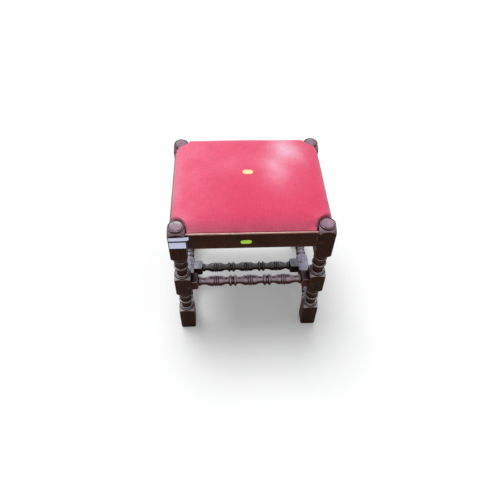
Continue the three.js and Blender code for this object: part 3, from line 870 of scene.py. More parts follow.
@dataclass(frozen=True)
class WovenFinish:
    """A plain woven cloth, read from the piece's own map, which is in metres."""

    name: str
    warp: Colour
    weft: Colour
    pitch: float
    roughness: float
    sheen: float
    bump_depth: float
    # Painted light: the colours of the pools of light and of the highlights painted on the cloth, if any.
    painted_light: Colour | None = None
    painted_highlight: Colour | None = None

    def material(self) -> bpy.types.Material:
        """Build the cloth's material, once.

        Returns:
            The material.
        """
        found = bpy.data.materials.get(self.name)
        if found:
            return found
        material, sheet, shader = new_material(self.name)
        laid = sheet.node("ShaderNodeUVMap", uv_map=CLOTH_MAP).outputs["UV"]
        weave = sheet.effect(EFFECTS.weave, Vector=laid, Pitch=self.pitch)
        flecks = sheet.noise(laid, (900, 900, 900), detail=2)
        slubs = sheet.maths("ADD", sheet.noise(laid, (700, 40, 1), detail=2), sheet.noise(laid, (40, 700, 1), detail=2))
        share = sheet.eased(weave.outputs["Shade"], -0.6, 0.6)
        share = sheet.maths("MULTIPLY_ADD", sheet.maths("SUBTRACT", slubs, 1.0), 0.9, share, clamp=True)
        colour = sheet.mixed(share, self.warp, self.weft)
        # Painted light: pools of light and highlights lighten the cloth in places.
        if self.painted_light and self.painted_highlight:
            colour = self._painted_light(sheet, colour, PAINTED_LIGHT_PLACES, self.painted_light)
            colour = self._painted_light(sheet, colour, PAINTED_HIGHLIGHT_PLACES, self.painted_highlight)
        streaks = sheet.maths("ADD", sheet.noise(laid, (330, 36, 1), detail=3), sheet.noise(laid, (36, 330, 1), detail=3))
        # Painted shade: the cloth is darker where its threads dip, with random flecks and streaks of tone besides.
        shade = sheet.eased(sheet.maths("MULTIPLY_ADD", flecks, 0.3, weave.outputs["Height"]), 0.1, 0.9, 0.86, 1.08)
        shade = sheet.maths("MULTIPLY", shade, sheet.eased(streaks, 0.7, 1.3, 0.93, 1.07))
        sheet.feed(shader.inputs["Base Color"], sheet.mixed(1.0, colour, self._grey(sheet, shade), "MULTIPLY"))
        sheet.feed(shader.inputs["Roughness"], sheet.eased(flecks, 0.2, 0.8, self.roughness - 0.05, self.roughness + 0.05))
        shader.inputs["Sheen Weight"].default_value = self.sheen
        shader.inputs["Sheen Roughness"].default_value = 0.5
        shader.inputs["Specular IOR Level"].default_value = 0.25
        bumped(sheet, shader, sheet.maths("MULTIPLY_ADD", flecks, 0.25, weave.outputs["Height"]), self.bump_depth)
        return material

    @staticmethod
    def _grey(sheet: NodeSheet, value: object) -> bpy.types.NodeSocket:
        """A number as a grey.

        Args:
            sheet: The material's sheet.
            value: The number.

        Returns:
            The grey.
        """
        grey = sheet.node("ShaderNodeCombineColor")
        for socket in grey.inputs[:3]:
            sheet.feed(socket, value)
        return grey.outputs[0]

    @staticmethod
    def _painted_light(sheet: NodeSheet, colour: bpy.types.NodeSocket, places: Sequence[tuple], pale: Colour) -> bpy.types.NodeSocket:
        """Paint pools of light and highlights on the cloth in places.

        Args:
            sheet: The material's sheet.
            colour: The cloth's own colour.
            places: The middle, reach and strength of each place.
            pale: The colour of the painted light.

        Returns:
            The colour, with the light painted on.
        """
        place = sheet.node("ShaderNodeTexCoord").outputs["Object"]
        flat = sheet.vector("MULTIPLY", place, (1.0, 1.0, 0.0))
        masks = []
        for centre, reach, strength in places:
            patch = sheet.effect(EFFECTS.patch, Vector=flat, Centre=centre, Reach=reach).outputs["Mask"]
            masks.append(sheet.maths("MULTIPLY", patch, strength))
        mask = masks[0]
        for other in masks[1:]:
            mask = sheet.maths("ADD", mask, other)
        cloudy = sheet.noise(flat, (17, 17, 17), detail=3)
        mask = sheet.maths("MULTIPLY", mask, sheet.eased(cloudy, 0.3, 0.65, 0.7, 1.1), clamp=True)
        return sheet.mixed(mask, colour, pale)


CLOTH_MAP = "cloth_cut"

# Middle, reach and strength of each place where a pool of light is painted on the red cloth
PAINTED_LIGHT_PLACES = (
    ((0.082, 0.040, 0.0), (0.055, 0.10, 1.0), 0.55),
    ((-0.035, 0.055, 0.0), (0.055, 0.045, 1.0), 0.3),
    ((-0.215, 0.02, 0.0), (0.12, 0.30, 1.0), 0.52),
    ((-0.08, 0.24, 0.0), (0.38, 0.15, 1.0), 0.36),
    ((0.215, -0.03, 0.0), (0.022, 0.12, 1.0), 0.5),
    ((0.0, -0.182, 0.0), (0.30, 0.022, 1.0), 0.6),
    ((-0.189, -0.162, 0.0), (0.028, 0.028, 1.0), 0.6),
    ((0.189, -0.162, 0.0), (0.028, 0.028, 1.0), 0.6),
)
# Middle, reach and strength of each place where a highlight is painted on the red cloth
PAINTED_HIGHLIGHT_PLACES = (
    ((0.072, 0.040, 0.0), (0.030, 0.055, 1.0), 0.5),
    ((0.108, 0.120, 0.0), (0.034, 0.050, 1.0), 0.9),
    ((0.150, 0.085, 0.0), (0.022, 0.040, 1.0), 0.2),
    ((-0.196, -0.03, 0.0), (0.016, 0.12, 1.0), 0.2),
)


@dataclass(frozen=True)
class PlainFinish:
    """A smooth finish with soft mottling: paper, blackened iron or stuffing."""

    name: str
    main: Colour
    other: Colour
    roughness: float
    metallic: float = 0.0
    spread: float = 260.0
    bump_depth: float = 0.03 * MM
    painted_glow: float = 0.0  # painted light: the paper emits a faint bluish light of its own, though it is no lamp

    def material(self) -> bpy.types.Material:
        """Build the material, once.

        Returns:
            The material.
        """
        found = bpy.data.materials.get(self.name)
        if found:
            return found
        material, sheet, shader = new_material(self.name)
        place = sheet.node("ShaderNodeTexCoord").outputs["Object"]
        mottling = sheet.noise(place, (self.spread,) * 3, detail=4)
        sheet.feed(shader.inputs["Base Color"], sheet.mixed(sheet.eased(mottling, 0.3, 0.7), self.main, self.other))
        sheet.feed(shader.inputs["Roughness"], sheet.eased(mottling, 0.3, 0.7, self.roughness - 0.06, self.roughness + 0.06))
        shader.inputs["Metallic"].default_value = self.metallic
        # Only the papers that are set to emit give off this painted bluish light.
        shader.inputs["Emission Color"].default_value = (0.22, 0.32, 1.0, 1.0)
        shader.inputs["Emission Strength"].default_value = self.painted_glow
        bumped(sheet, shader, mottling, self.bump_depth)
        return material


# Its up-facing colours are painted sheen, and its edge colour is abrasion with a painted highlight.
DARK_OAK = WoodFinish(
    name="dark_oak",
    deep=(0.018, 0.0056, 0.0030),
    pale=(0.064, 0.022, 0.012),
    worn_and_highlight=(0.36, 0.18, 0.115),
    grime_and_shade=(0.005, 0.0030, 0.0025),
    roughness=0.42,
    wax=0.85,
    wear_and_highlight_share=0.85,
    upper_sheen=(0.27, 0.135, 0.205),
    lower_sheen=(0.68, 0.60, 0.66),
    flat_lower_sheen=(0.62, 0.64, 0.80),
    sheen_share=0.85,
    wear_and_highlight_radius=4.2 * MM,
)
# Copies that differ only in painted sheen: brighter and bluer on the right stretcher, and dimmer on the left one, as
# painted shade from the seat.
LIT_SIDE_OAK = replace(DARK_OAK, name="lit_side_oak", lower_sheen=(0.50, 0.46, 0.60), flat_lower_sheen=(0.72, 0.66, 0.94))
SHADED_LEFT_OAK = replace(LIT_SIDE_OAK, name="left_oak", lower_sheen=(0.27, 0.23, 0.26), flat_lower_sheen=(0.34, 0.31, 0.42))
SHADED_OAK = replace(DARK_OAK, name="shaded_oak", deep=(0.012, 0.0042, 0.0026), pale=(0.040, 0.015, 0.009), lower_sheen=(0.30, 0.26, 0.26), worn_and_highlight=(0.36, 0.20, 0.13), wax=0.4, grime_and_shade_reach=20 * MM, grime_and_shade_span=(0.9, 0.6))
# The front rail's oak: paler from rubbing, with a painted highlight and sheen along its lit top edge.
RUBBED_LIT_OAK = replace(
    DARK_OAK,
    name="rubbed_lit_oak",
    deep=(0.026, 0.0080, 0.0044),
    pale=(0.088, 0.030, 0.017),
    worn_and_highlight=(0.50, 0.23, 0.17),
    wear_and_highlight_share=0.95,
    upper_sheen=(0.50, 0.205, 0.155),
    wear_and_highlight_radius=5.5 * MM,
)
# The upper stretchers' oak: its pale edge colour is a painted highlight on the crests, its up-facing colours are
# painted sheen, dimmer on the flat tops, and its wide reach of darkening paints shade into the necks.
RED_OAK = WoodFinish(
    name="red_oak",
    deep=(0.034, 0.009, 0.0075),
    pale=(0.125, 0.032, 0.025),
    worn_and_highlight=(0.90, 0.48, 0.50),
    grime_and_shade=(0.012, 0.005, 0.0045),
    roughness=0.36,
    wax=1.0,
    wear_and_highlight_share=0.85,
    upper_sheen=(0.36, 0.235, 0.27),
    lower_sheen=(1.0, 0.72, 0.86),
    flat_lower_sheen=(0.24, 0.16, 0.20),
    sheen_share=0.9,
    wear_and_highlight_radius=3.0 * MM,
    grime_and_shade_reach=22 * MM,
    grime_and_shade_span=(0.93, 0.62),
)
PEG_OAK = WoodFinish(
    name="peg_oak",
    deep=(0.012, 0.006, 0.0045),
    pale=(0.045, 0.02, 0.014),
    worn_and_highlight=(0.09, 0.045, 0.03),
    grime_and_shade=(0.006, 0.004, 0.0035),
    roughness=0.55,
    wax=0.4,
    wear_and_highlight_share=0.5,
    wear_and_highlight_radius=0.6 * MM,
    grime_and_shade_reach=2 * MM,
)
BEECH = WoodFinish(
    name="beech",
    deep=(0.36, 0.21, 0.10),
    pale=(0.52, 0.34, 0.18),
    worn_and_highlight=(0.50, 0.34, 0.19),
    grime_and_shade=(0.20, 0.12, 0.06),
    roughness=0.68,
    wax=0.0,
    wear_and_highlight_share=0.2,
)
RED_CLOTH = WovenFinish(
    name="worn_red_cloth",
    warp=(0.80, 0.064, 0.154),
    weft=(0.74, 0.052, 0.130),
    pitch=0.9 * MM,
    roughness=0.86,
    sheen=0.25,
    bump_depth=0.18 * MM,
    # The last two colours are painted light: pools of light and highlights.
    painted_light=(1.0, 0.225, 0.345),
    painted_highlight=(0.92, 0.50, 0.64),
)
JUTE = WovenFinish("jute", (0.42, 0.28, 0.13), (0.34, 0.22, 0.10), 2.4 * MM, 0.9, 0.1, 0.4 * MM)
HESSIAN = WovenFinish("hessian_cloth", (0.32, 0.21, 0.10), (0.25, 0.16, 0.07), 1.9 * MM, 0.93, 0.1, 0.4 * MM)
BLACK_CLOTH = WovenFinish("black_lining", (0.013, 0.013, 0.014), (0.02, 0.02, 0.021), 0.7 * MM, 0.85, 0.1, 0.1 * MM)
FIBRE = PlainFinish("fibre_stuffing", (0.42, 0.34, 0.23), (0.62, 0.54, 0.42), 0.92, spread=420.0, bump_depth=0.8 * MM)
TACK_IRON = PlainFinish("blued_iron", (0.03, 0.032, 0.04), (0.06, 0.06, 0.066), 0.38, metallic=1.0)
YELLOW_PAPER = PlainFinish("yellow_paper", (0.93, 0.71, 0.34), (0.95, 0.77, 0.42), 0.5)
GREEN_PAPER = PlainFinish("green_paper", (0.55, 0.96, 0.03), (0.60, 1.0, 0.04), 0.42)
# Painted light: this paper emits a faint bluish light of its own.
PALE_PAPER = PlainFinish("pale_paper", (0.78, 0.84, 1.0), (0.86, 0.90, 1.0), 0.5, painted_glow=0.12)


def dress(piece: bpy.types.Object, material: bpy.types.Material) -> None:
    """Give a piece one material all over.

    Args:
        piece: The piece.
        material: The material.
    """
    piece.data.materials.clear()
    piece.data.materials.append(material)


def finish_piece(
    piece: bpy.types.Object,
    body: Body,
    material: bpy.types.Material,
    stands_for: Sequence[str] = (),
) -> bpy.types.Object:
    """Dress a finished piece and put it on its body.

    Args:
        piece: The piece, its place in its mesh.
        body: The body that it rides on.
        material: What it is made of.
        stands_for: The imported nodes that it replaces.

    Returns:
        The same piece.
    """
    dress(piece, material)
    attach(piece, body.value)
    if stands_for:
        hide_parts(*stands_for)
    log.info("%s: %d faces, on %s", piece.name, len(piece.data.polygons), body.value)
    return piece


def in_metres(rows: Sequence[Row]) -> list[Row]:
    """Rows drawn in millimetres, in metres.

    Args:
        rows: Places and radii in millimetres.

    Returns:
        The same rows in metres.
    """
    return [(at * MM, radius * MM) for at, radius in rows]


def moved(piece: bpy.types.Object, move: Matrix) -> bpy.types.Object:
    """Move a piece's mesh and leave its origin where it is.

    Args:
        piece: The piece.
        move: Where it goes.

    Returns:
        The same piece.
    """
    piece.data.transform(move)
    piece.data.update()
    return piece


def evenly(low: float, high: float, step: float) -> list[float]:
    """Places between two ends, about a step apart, without the ends.

    Args:
        low: The first end.
        high: The last end.
        step: About how far apart they are.

    Returns:
        The places.
    """
    count = max(1, round((high - low) / step))
    return [low + (high - low) * i / count for i in range(1, count)]


# The wooden frame


@dataclass
class Pegs:
    """The pegs that pin the tenons: split oak, drawn in tight and cut off almost flush."""

    names: list[str] = field(default_factory=lambda: sorted(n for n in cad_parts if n.startswith("peg_")))
    sides: int = 8
    dome: float = 0.5 * MM
    taper: float = 0.4 * MM
    clearance: float = 0.12 * MM

    def _laid(self, name: str, steps: list[Row], label: str) -> bpy.types.Object:
        """Turn a solid and lay it where a peg is, its last row outwards.

        Args:
            name: The peg's node.
            steps: Rows from the peg's inner end.
            label: The new piece's name.

        Returns:
            The solid.
        """
        low, high = (Vector(corner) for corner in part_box(name))
        size = high - low
        index = max(range(3), key=lambda i: size[i])
        axis = (Axis.X, Axis.Y, Axis.Z)[index]
        middle = (low + high) / 2
        outwards = 1 if middle[index] > 0 else -1
        foot = low[index] if outwards > 0 else high[index]
        rows = [(foot + outwards * at, radius) for at, radius in steps]
        piece = turned(label, rows, axis, self.sides)
        middle[index] = 0
        return moved(piece, Matrix.Translation(middle))

    def _size(self, name: str) -> tuple[float, float]:
        """The length and the radius of a peg."""
        low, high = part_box(name)
        size = sorted(b - a for a, b in zip(low, high))
        return size[2], size[1] / 2

    def bore(self, piece: bpy.types.Object) -> None:
        """Bore the holes of the pegs that go into a piece.

        Args:
            piece: A leg or a stretcher.
        """
        corners = corners_of(piece)
        low, high = corners.min(axis=0), corners.max(axis=0)
        tools = []
        for name in self.names:
            middle = (np.array(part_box(name)[0]) + np.array(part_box(name)[1])) / 2
            if np.all(middle > low) and np.all(middle < high):
                length, radius = self._size(name)
                radius += self.clearance
                tools.append(self._laid(name, [(-0.3 * MM, 0), (-0.3 * MM, radius), (length + OVERRUN, radius), (length + OVERRUN, 0)], "bit"))
        if tools:
            cut(piece, joined("bits", tools))

    def build(self) -> None:
        """Make every peg."""
        for seed, name in enumerate(self.names):
            length, radius = self._size(name)
            rows = [(0, 0), (0, radius - self.taper), (length - self.dome, radius), (length - 0.1 * MM, radius * 0.8), (length, radius * 0.45), (length, 0)]
            piece = self._laid(name, rows, f"split_{name}")
            roughen(piece, 0.06 * MM, seed)
            smooth(piece, 40)
            finish_piece(piece, Body.FRAME, PEG_OAK.material(Axis.Z), [name])


@dataclass
class Legs:
    """The four legs, each turned from one square of stock, with a flat button on top."""

    pegs: Pegs
    stock: float = 44.5 * MM
    arris: float = 3.0 * MM
    foot_round: float = 2.5 * MM
    height: float = 450 * MM
    out_x: float = 189.05 * MM
    out_y: float = 162.05 * MM
    lathe_steps: int = 72
    pared_radius: float = 38.5 * MM
    pared_out: float = 13.05 * MM  # from the leg's axis to the middle of the pared hollow
    pared_from: float = 418 * MM

    @staticmethod
    def turning(bottom: float, length: float) -> list[Row]:
        """The outline of a turned part, in millimetres, with the shoulders of the two blocks that it joins.

        Args:
            bottom: The top of the block below.
            length: How far it is to the block above.

        Returns:
            Its rows, from a little below to a little above.
        """
        rows = [(-9, 36), (-5.5, 33.4), (-2, 31.2), (1, 28.6), (3.2, 25.6), (4.4, 23.4), (5.0, 22.4), (2.6, 22.2), (2.0, 21.2), (2.4, 20.2)]
        rows += [(6.0, 20.1), (7.0, 19.8), (7.5, 19.1), (7.5, 18.4), (6.2, 18.2), (6.2, 17.7), (8.2, 17.5), (9.4, 17.0), (10.2, 16.2), (10.5, 15.4)]
        rows += flowing([(10.8, 14.9), (13.5, 14.5), (18.5, 14.3), (23, 15.0), (31, 17.1), (40, 18.4)])
        rows += [(40.3, 17.1), (41.0, 17.0)]
        rows += bead(41.2, 45.6, 17.3, 20.2)
        rows += [(45.8, 16.6), (46.7, 16.6)]
        rows += flowing([(46.9, 17.3), (54.5, 16.2), (62, 17.4)])
        rows += [(62.2, 17.9), (63.6, 17.9)]
        rows += bead(63.9, 71.0, 17.6, 19.0)
        rows += [(71.3, 16.8), (72.6, 16.8)]
        rows += flowing([(72.8, 17.3), (79, 17.4), (84, 18.2), (88.6, 18.4)])
        rows += [(89.0, 18.6), (89.3, 21.6), (90.2, 22.8), (91.4, 25.5), (93.4, 28.6), (96.5, 31.2), (101, 33.2), (106, 36)]
        return [(bottom + at * length / 90, radius) for at, radius in rows]

    def outline(self) -> list[Row]:
        """The whole outline of a leg, from its foot up."""
        foot = [(-6, 0), (-6, 21), (0, 25.6), (1.4, 27.4), (3.6, 29.2), (7, 30.8), (12, 32.4), (18, 36)]
        top = [(420, 36), (424.5, 33.6), (429, 31.6), (433, 29.2), (436.6, 26.6), (439.6, 23.9), (441.5, 21.6)]
        top += [(442.4, 19.9), (443.2, 18.5), (444.2, 18.2), (445.0, 19)]
        button = [(445.8, 19.9), (446.8, 20.4), (448.0, 20.6), (449.2, 20.4), (450.2, 19.8), (450.7, 19.1), (450.8, 18.5)]
        dish = [(450.5, 18.4), (448.4, 18.1), (448.4, 16.6), (450.5, 16.3), (450.9, 16.0), (450.7, 14), (450.3, 9), (450.2, 3), (450.2, 0)]
        return foot + self.turning(93, 87) + self.turning(251.5, 88.5) + top + button + dish

    def _blank(self) -> bpy.types.Object:
        """Turn one leg about the origin.

        Returns:
            The leg, before its joints.
        """
        half = self.stock / 2
        piece = block("leg_blank", (-half, -half, 0), (half, half, self.height + OVERRUN))
        round_edges(piece, self.arris, 3, lambda a, b: abs(a.z - b.z) > self.stock)
        round_edges(piece, self.foot_round, 3, lambda a, b: max(a.z, b.z) < WELD)
        slice_along(piece, Axis.Z, evenly(0, self.height, 18 * MM))
        cut(piece, turned("lathe_work", in_metres(self.outline()), Axis.Z, self.lathe_steps), "INTERSECT")
        return piece

    def _pare(self, piece: bpy.types.Object, side_x: int, side_y: int) -> None:
        """Pare the inner corner of a leg's top, where the pad's hollow goes round it.

        Args:
            piece: The leg.
            side_x: Which side of the stool it is on.
            side_y: Whether it is at the back.
        """
        middle = Vector((side_x * (self.out_x + self.pared_out), side_y * (self.out_y + self.pared_out), 0))
        reach = self.pared_radius + self.stock
        tool = block("paring", (middle.x - reach, middle.y - reach, self.pared_from), (middle.x + reach, middle.y + reach, self.height + OVERRUN))
        bottom, top, radius = self.pared_from - OVERRUN, self.height + 2 * OVERRUN, self.pared_radius
        kept = turned("kept", [(bottom, 0), (bottom, radius), (top, radius), (top, 0)], Axis.Z, 72)
        cut(tool, moved(kept, Matrix.Translation(middle)))
        cut(piece, tool)

    def build(self) -> None:
        """Make the four legs."""
        blank = self._blank()
        for seed, (side_x, side_y) in enumerate((x, y) for x in ENDS for y in ENDS):
            place = f"{'back' if side_y > 0 else 'front'}_{'right' if side_x > 0 else 'left'}"
            turn = Matrix.Rotation(math.pi / 2 * seed, 4, "Z")
            piece = copied(blank, f"turned_leg_{place}", turn)
            roughen(piece, 0.12 * MM, seed)
            moved(piece, Matrix.Translation((side_x * self.out_x, side_y * self.out_y, 0)))
            self._pare(piece, side_x, side_y)
            self.pegs.bore(piece)
            smooth(piece)
            finish_piece(piece, Body.FRAME, DARK_OAK.material(Axis.Z), [f"leg_{place}"])
        bpy.data.objects.remove(blank)


@dataclass
class Rails:
    """The four seat rails, rebated inside, their tops rounded over to a narrow lip."""

    thickness: float = 22 * MM
    bottom: float = 379.5 * MM
    top: float = 434 * MM
    lip: float = 6 * MM
    ledge: float = 418 * MM
    outer_x: float = 208 * MM
    outer_y: float = 178.5 * MM
    half_x: float = 166.5 * MM
    half_y: float = 139.5 * MM
    arris: float = 4.6 * MM
    lip_arris: float = 1.2 * MM
    lower_arris: float = 1.6 * MM

    def _rail(self, name: str, axis: Axis, side: int, seed: int) -> None:
        """Make one rail.

        Args:
            name: Its CAD node.
            axis: The direction that it runs in.
            side: Which side of the stool it is on.
            seed: Which draw of roughness it has.
        """
        outer, half = (self.outer_y, self.half_x) if axis is Axis.X else (self.outer_x, self.half_y)
        half -= HIDDEN_GAP
        inner, lip = outer - self.thickness, outer - self.lip

        def corner(along: float, across: float, up: float) -> Vector:
            """A corner of the rail, from its own three directions."""
            return Vector((along, side * across, up)) if axis is Axis.X else Vector((side * across, along, up))

        def box(label: str, start: tuple[float, float, float], end: tuple[float, float, float]) -> bpy.types.Object:
            """A block between two corners of the rail."""
            a, b = corner(*start), corner(*end)
            return block(label, (min(p) for p in zip(a, b)), (max(p) for p in zip(a, b)))

        piece = box(f"oak_{name}", (-half, inner, self.bottom), (half, outer, self.top))
        cut(piece, box("rebate", (-half - OVERRUN, inner - OVERRUN, self.ledge), (half + OVERRUN, lip, self.top + OVERRUN)))

        def runs_at(across: float, up: float) -> Callable[[Vector, Vector], bool]:
            """A test for the long edge at one place of the section."""
            wanted = corner(0, across, up)
            return lambda a, b: all((Vector((0 if axis is Axis.X else p.x, 0 if axis is Axis.Y else p.y, p.z)) - wanted).length < 10 * WELD for p in (a, b))

        round_edges(piece, self.arris, 4, runs_at(outer, self.top))
        round_edges(piece, self.lip_arris, 3, runs_at(lip, self.top))
        round_edges(piece, self.lower_arris, 3, runs_at(outer, self.bottom))
        round_edges(piece, self.lower_arris, 3, runs_at(inner, self.bottom))
        slice_along(piece, axis, evenly(-half, half, 22 * MM))
        roughen(piece, 0.16 * MM, seed)
        smooth(piece)
        # The front rail takes the oak with the painted highlight.
        finish_piece(piece, Body.FRAME, (RUBBED_LIT_OAK if name == "rail_front" else DARK_OAK).material(axis), [name])

    def build(self) -> None:
        """Make the four rails."""
        self._rail("rail_front", Axis.X, -1, 21)
        self._rail("rail_back", Axis.X, 1, 22)
        self._rail("rail_left", Axis.Y, -1, 23)
        self._rail("rail_right", Axis.Y, 1, 24)


@dataclass
class Stretchers:
    """The turned stretchers: square where they meet the rest, turned in between."""

    pegs: Pegs
    stock: float = 34 * MM
    arris: float = 1.6 * MM
    lathe_steps: int = 56
    reach: float = 16.0  # the radius of the discs, in millimetres
    square: float = 26.0  # a radius outside the stock, in millimetres
    vase_shares: tuple[Row, ...] = ((0.0, 0.87), (0.07, 0.915), (0.17, 0.94), (0.3, 0.905), (0.5, 0.755), (0.68, 0.65), (0.82, 0.635), (0.92, 0.69), (1.0, 0.8))

    def _vase(self, swollen: float, narrow: float) -> list[Row]:
        """A vase that swells at one end and narrows at the other, in millimetres.

        Args:
            swollen: Where its swollen end is.
            narrow: Where its narrow end is.

        Returns:
            Its rows, in rising order.
        """
        points = [(swollen + (narrow - swollen) * share, self.reach * radius) for share, radius in self.vase_shares]
        return flowing(sorted(points))

    @staticmethod
    def _shoulder(at: float) -> list[Row]:
        """The rounded shoulder of a square block that begins at a place."""
        return [(at, 11.4), (at, 17.2), (at + 0.6, 19.4), (at + 2, 21.8), (at + 4.5, 24), (at + 8.5, 26)]

    def _long_half(self, pair: float, ring: float, block_start: float) -> list[Row]:
        """Half of a long stretcher's outline, from its middle ring to its square end.

        Args:
            pair: The middle of the pair of discs.
            ring: The middle of the outer ring.
            block_start: Where the square end begins.

        Returns:
            Its rows, in millimetres.
        """
        collar = block_start - 6.4
        rows = self._band(0)[len(self._band(0)) // 2 :]
        rows += self._vase(6.2, pair - 10.6)
        rows += bead(pair - 10.3, pair - 3.1, 11.6, 16.5, 8, 0.6)
        rows += bead(pair - 2.7, pair + 2.7, 11.4, 12.4, 6)
        rows += bead(pair + 3.1, pair + 10.3, 11.6, 16.5, 8, 0.6)
        rows += self._vase(ring - 6.2, pair + 10.6)
        rows += self._band(ring)
        rows += self._vase(ring + 6.2, collar - 0.4)
        rows += bead(collar, collar + 4.8, 11.4, 13.8, 8, 0.6)
        rows += self._shoulder(block_start)
        return rows

    @staticmethod
    def _band(middle: float) -> list[Row]:
        """Two rings side by side, with a groove between them and one at each side, in millimetres."""
        half = [(0.0, 13.8), (1.0, 13.8)] + bead(1.3, 4.9, 14.0, 16.4, 6, 0.6) + [(5.2, 12.6), (5.9, 12.6)]
        rows = [(middle + at, radius) for at, radius in half]
        return reversed_about(rows, middle)[:-1] + rows

    def _side_half(self) -> list[Row]:
        """Half of a side stretcher's outline, from its middle block to its square end."""
        half_turning = 42.9
        block_end, turning_end = 34.0, 34.0 + 2 * half_turning
        rows = [(0, 13), (0.9, 13)]
        rows += bead(1.2, 7.2, 12.2, 14.9)
        rows += [(7.5, 11.7), (9.1, 11.7)]
        rows += flowing([(9.3, 12.6), (12.9, 14.5), (17.8, 15.4), (22.7, 14.5), (25.6, 12.5)])
        rows += [(25.9, 11.7), (27.1, 11.7)]
        rows += bead(27.4, 32.2, 12.5, 14.4)
        rows += flowing([(32.6, 12.0), (34.8, 10.9), (38.6, 13.3), (42.9, 15.5)])
        first = [(block_end + at, radius) for at, radius in rows]
        second = reversed_about(first, block_end + half_turning)[1:]
        block = reversed_about(self._shoulder(0), block_end / 2)
        return [(0, self.square)] + block + first + second + self._shoulder(turning_end)

    def _stretcher(self, name: str, axis: Axis, middle: Vector, half: float, rows: list[Row], finish: WoodFinish, seed: int) -> None:
        """Make one stretcher.

        Args:
            name: Its CAD node.
            axis: The direction that it runs in.
            middle: Its middle.
            half: Half its length between shoulders, in millimetres.
            rows: Half its outline, in millimetres.
            finish: Its wood.
            seed: Which draw of roughness it has.
        """
        end = half + 6
        outer = rows + [(end, self.square), (end, 0)]
        inner = [(-at, radius) for at, radius in reversed(outer) if at > 0]
        reach = Vector((self.stock / 2,) * 3)
        index = axis.value.index(1)
        reach[index] = half * MM - HIDDEN_GAP
        piece = block(f"turned_{name}", -reach, reach)
        round_edges(piece, self.arris, 3, lambda a, b: abs(a[index] - b[index]) > self.stock)
        slice_along(piece, axis, evenly(-reach[index], reach[index], 15 * MM))
        cut(piece, turned("lathe_work", in_metres(inner + outer), axis, self.lathe_steps), "INTERSECT")
        roughen(piece, 0.1 * MM, seed)
        moved(piece, Matrix.Translation(middle))
        self.pegs.bore(piece)
        smooth(piece)
        finish_piece(piece, Body.FRAME, finish.material(axis), [name])

    def build(self) -> None:
        """Make the two upper stretchers and the low H."""
        upper = self._long_half(48.9, 95.8, 147.0)
        cross = self._long_half(49.7, 99.5, 145.0)
        side = self._side_half()
        for index, (name, across) in enumerate((("front", -162.05), ("back", 162.05))):
            middle = Vector((0, across, 217)) * MM
            self._stretcher(f"stretcher_{name}_upper", Axis.X, middle, 166.8, upper, RED_OAK, 31 + index)
        self._stretcher("stretcher_cross_lower", Axis.X, Vector((0, 0, 68)) * MM, 172.0, cross, SHADED_OAK, 33)
        for index, (name, across) in enumerate((("left", -189.05), ("right", 189.05))):
            middle = Vector((across, 0, 68)) * MM
            # The left stretcher takes the copy with painted shade, the right one the lit copy.
            self._stretcher(f"stretcher_{name}_lower", Axis.Y, middle, 139.8, side, SHADED_LEFT_OAK if name == "left" else LIT_SIDE_OAK, 34 + index)


# The drop-in seat


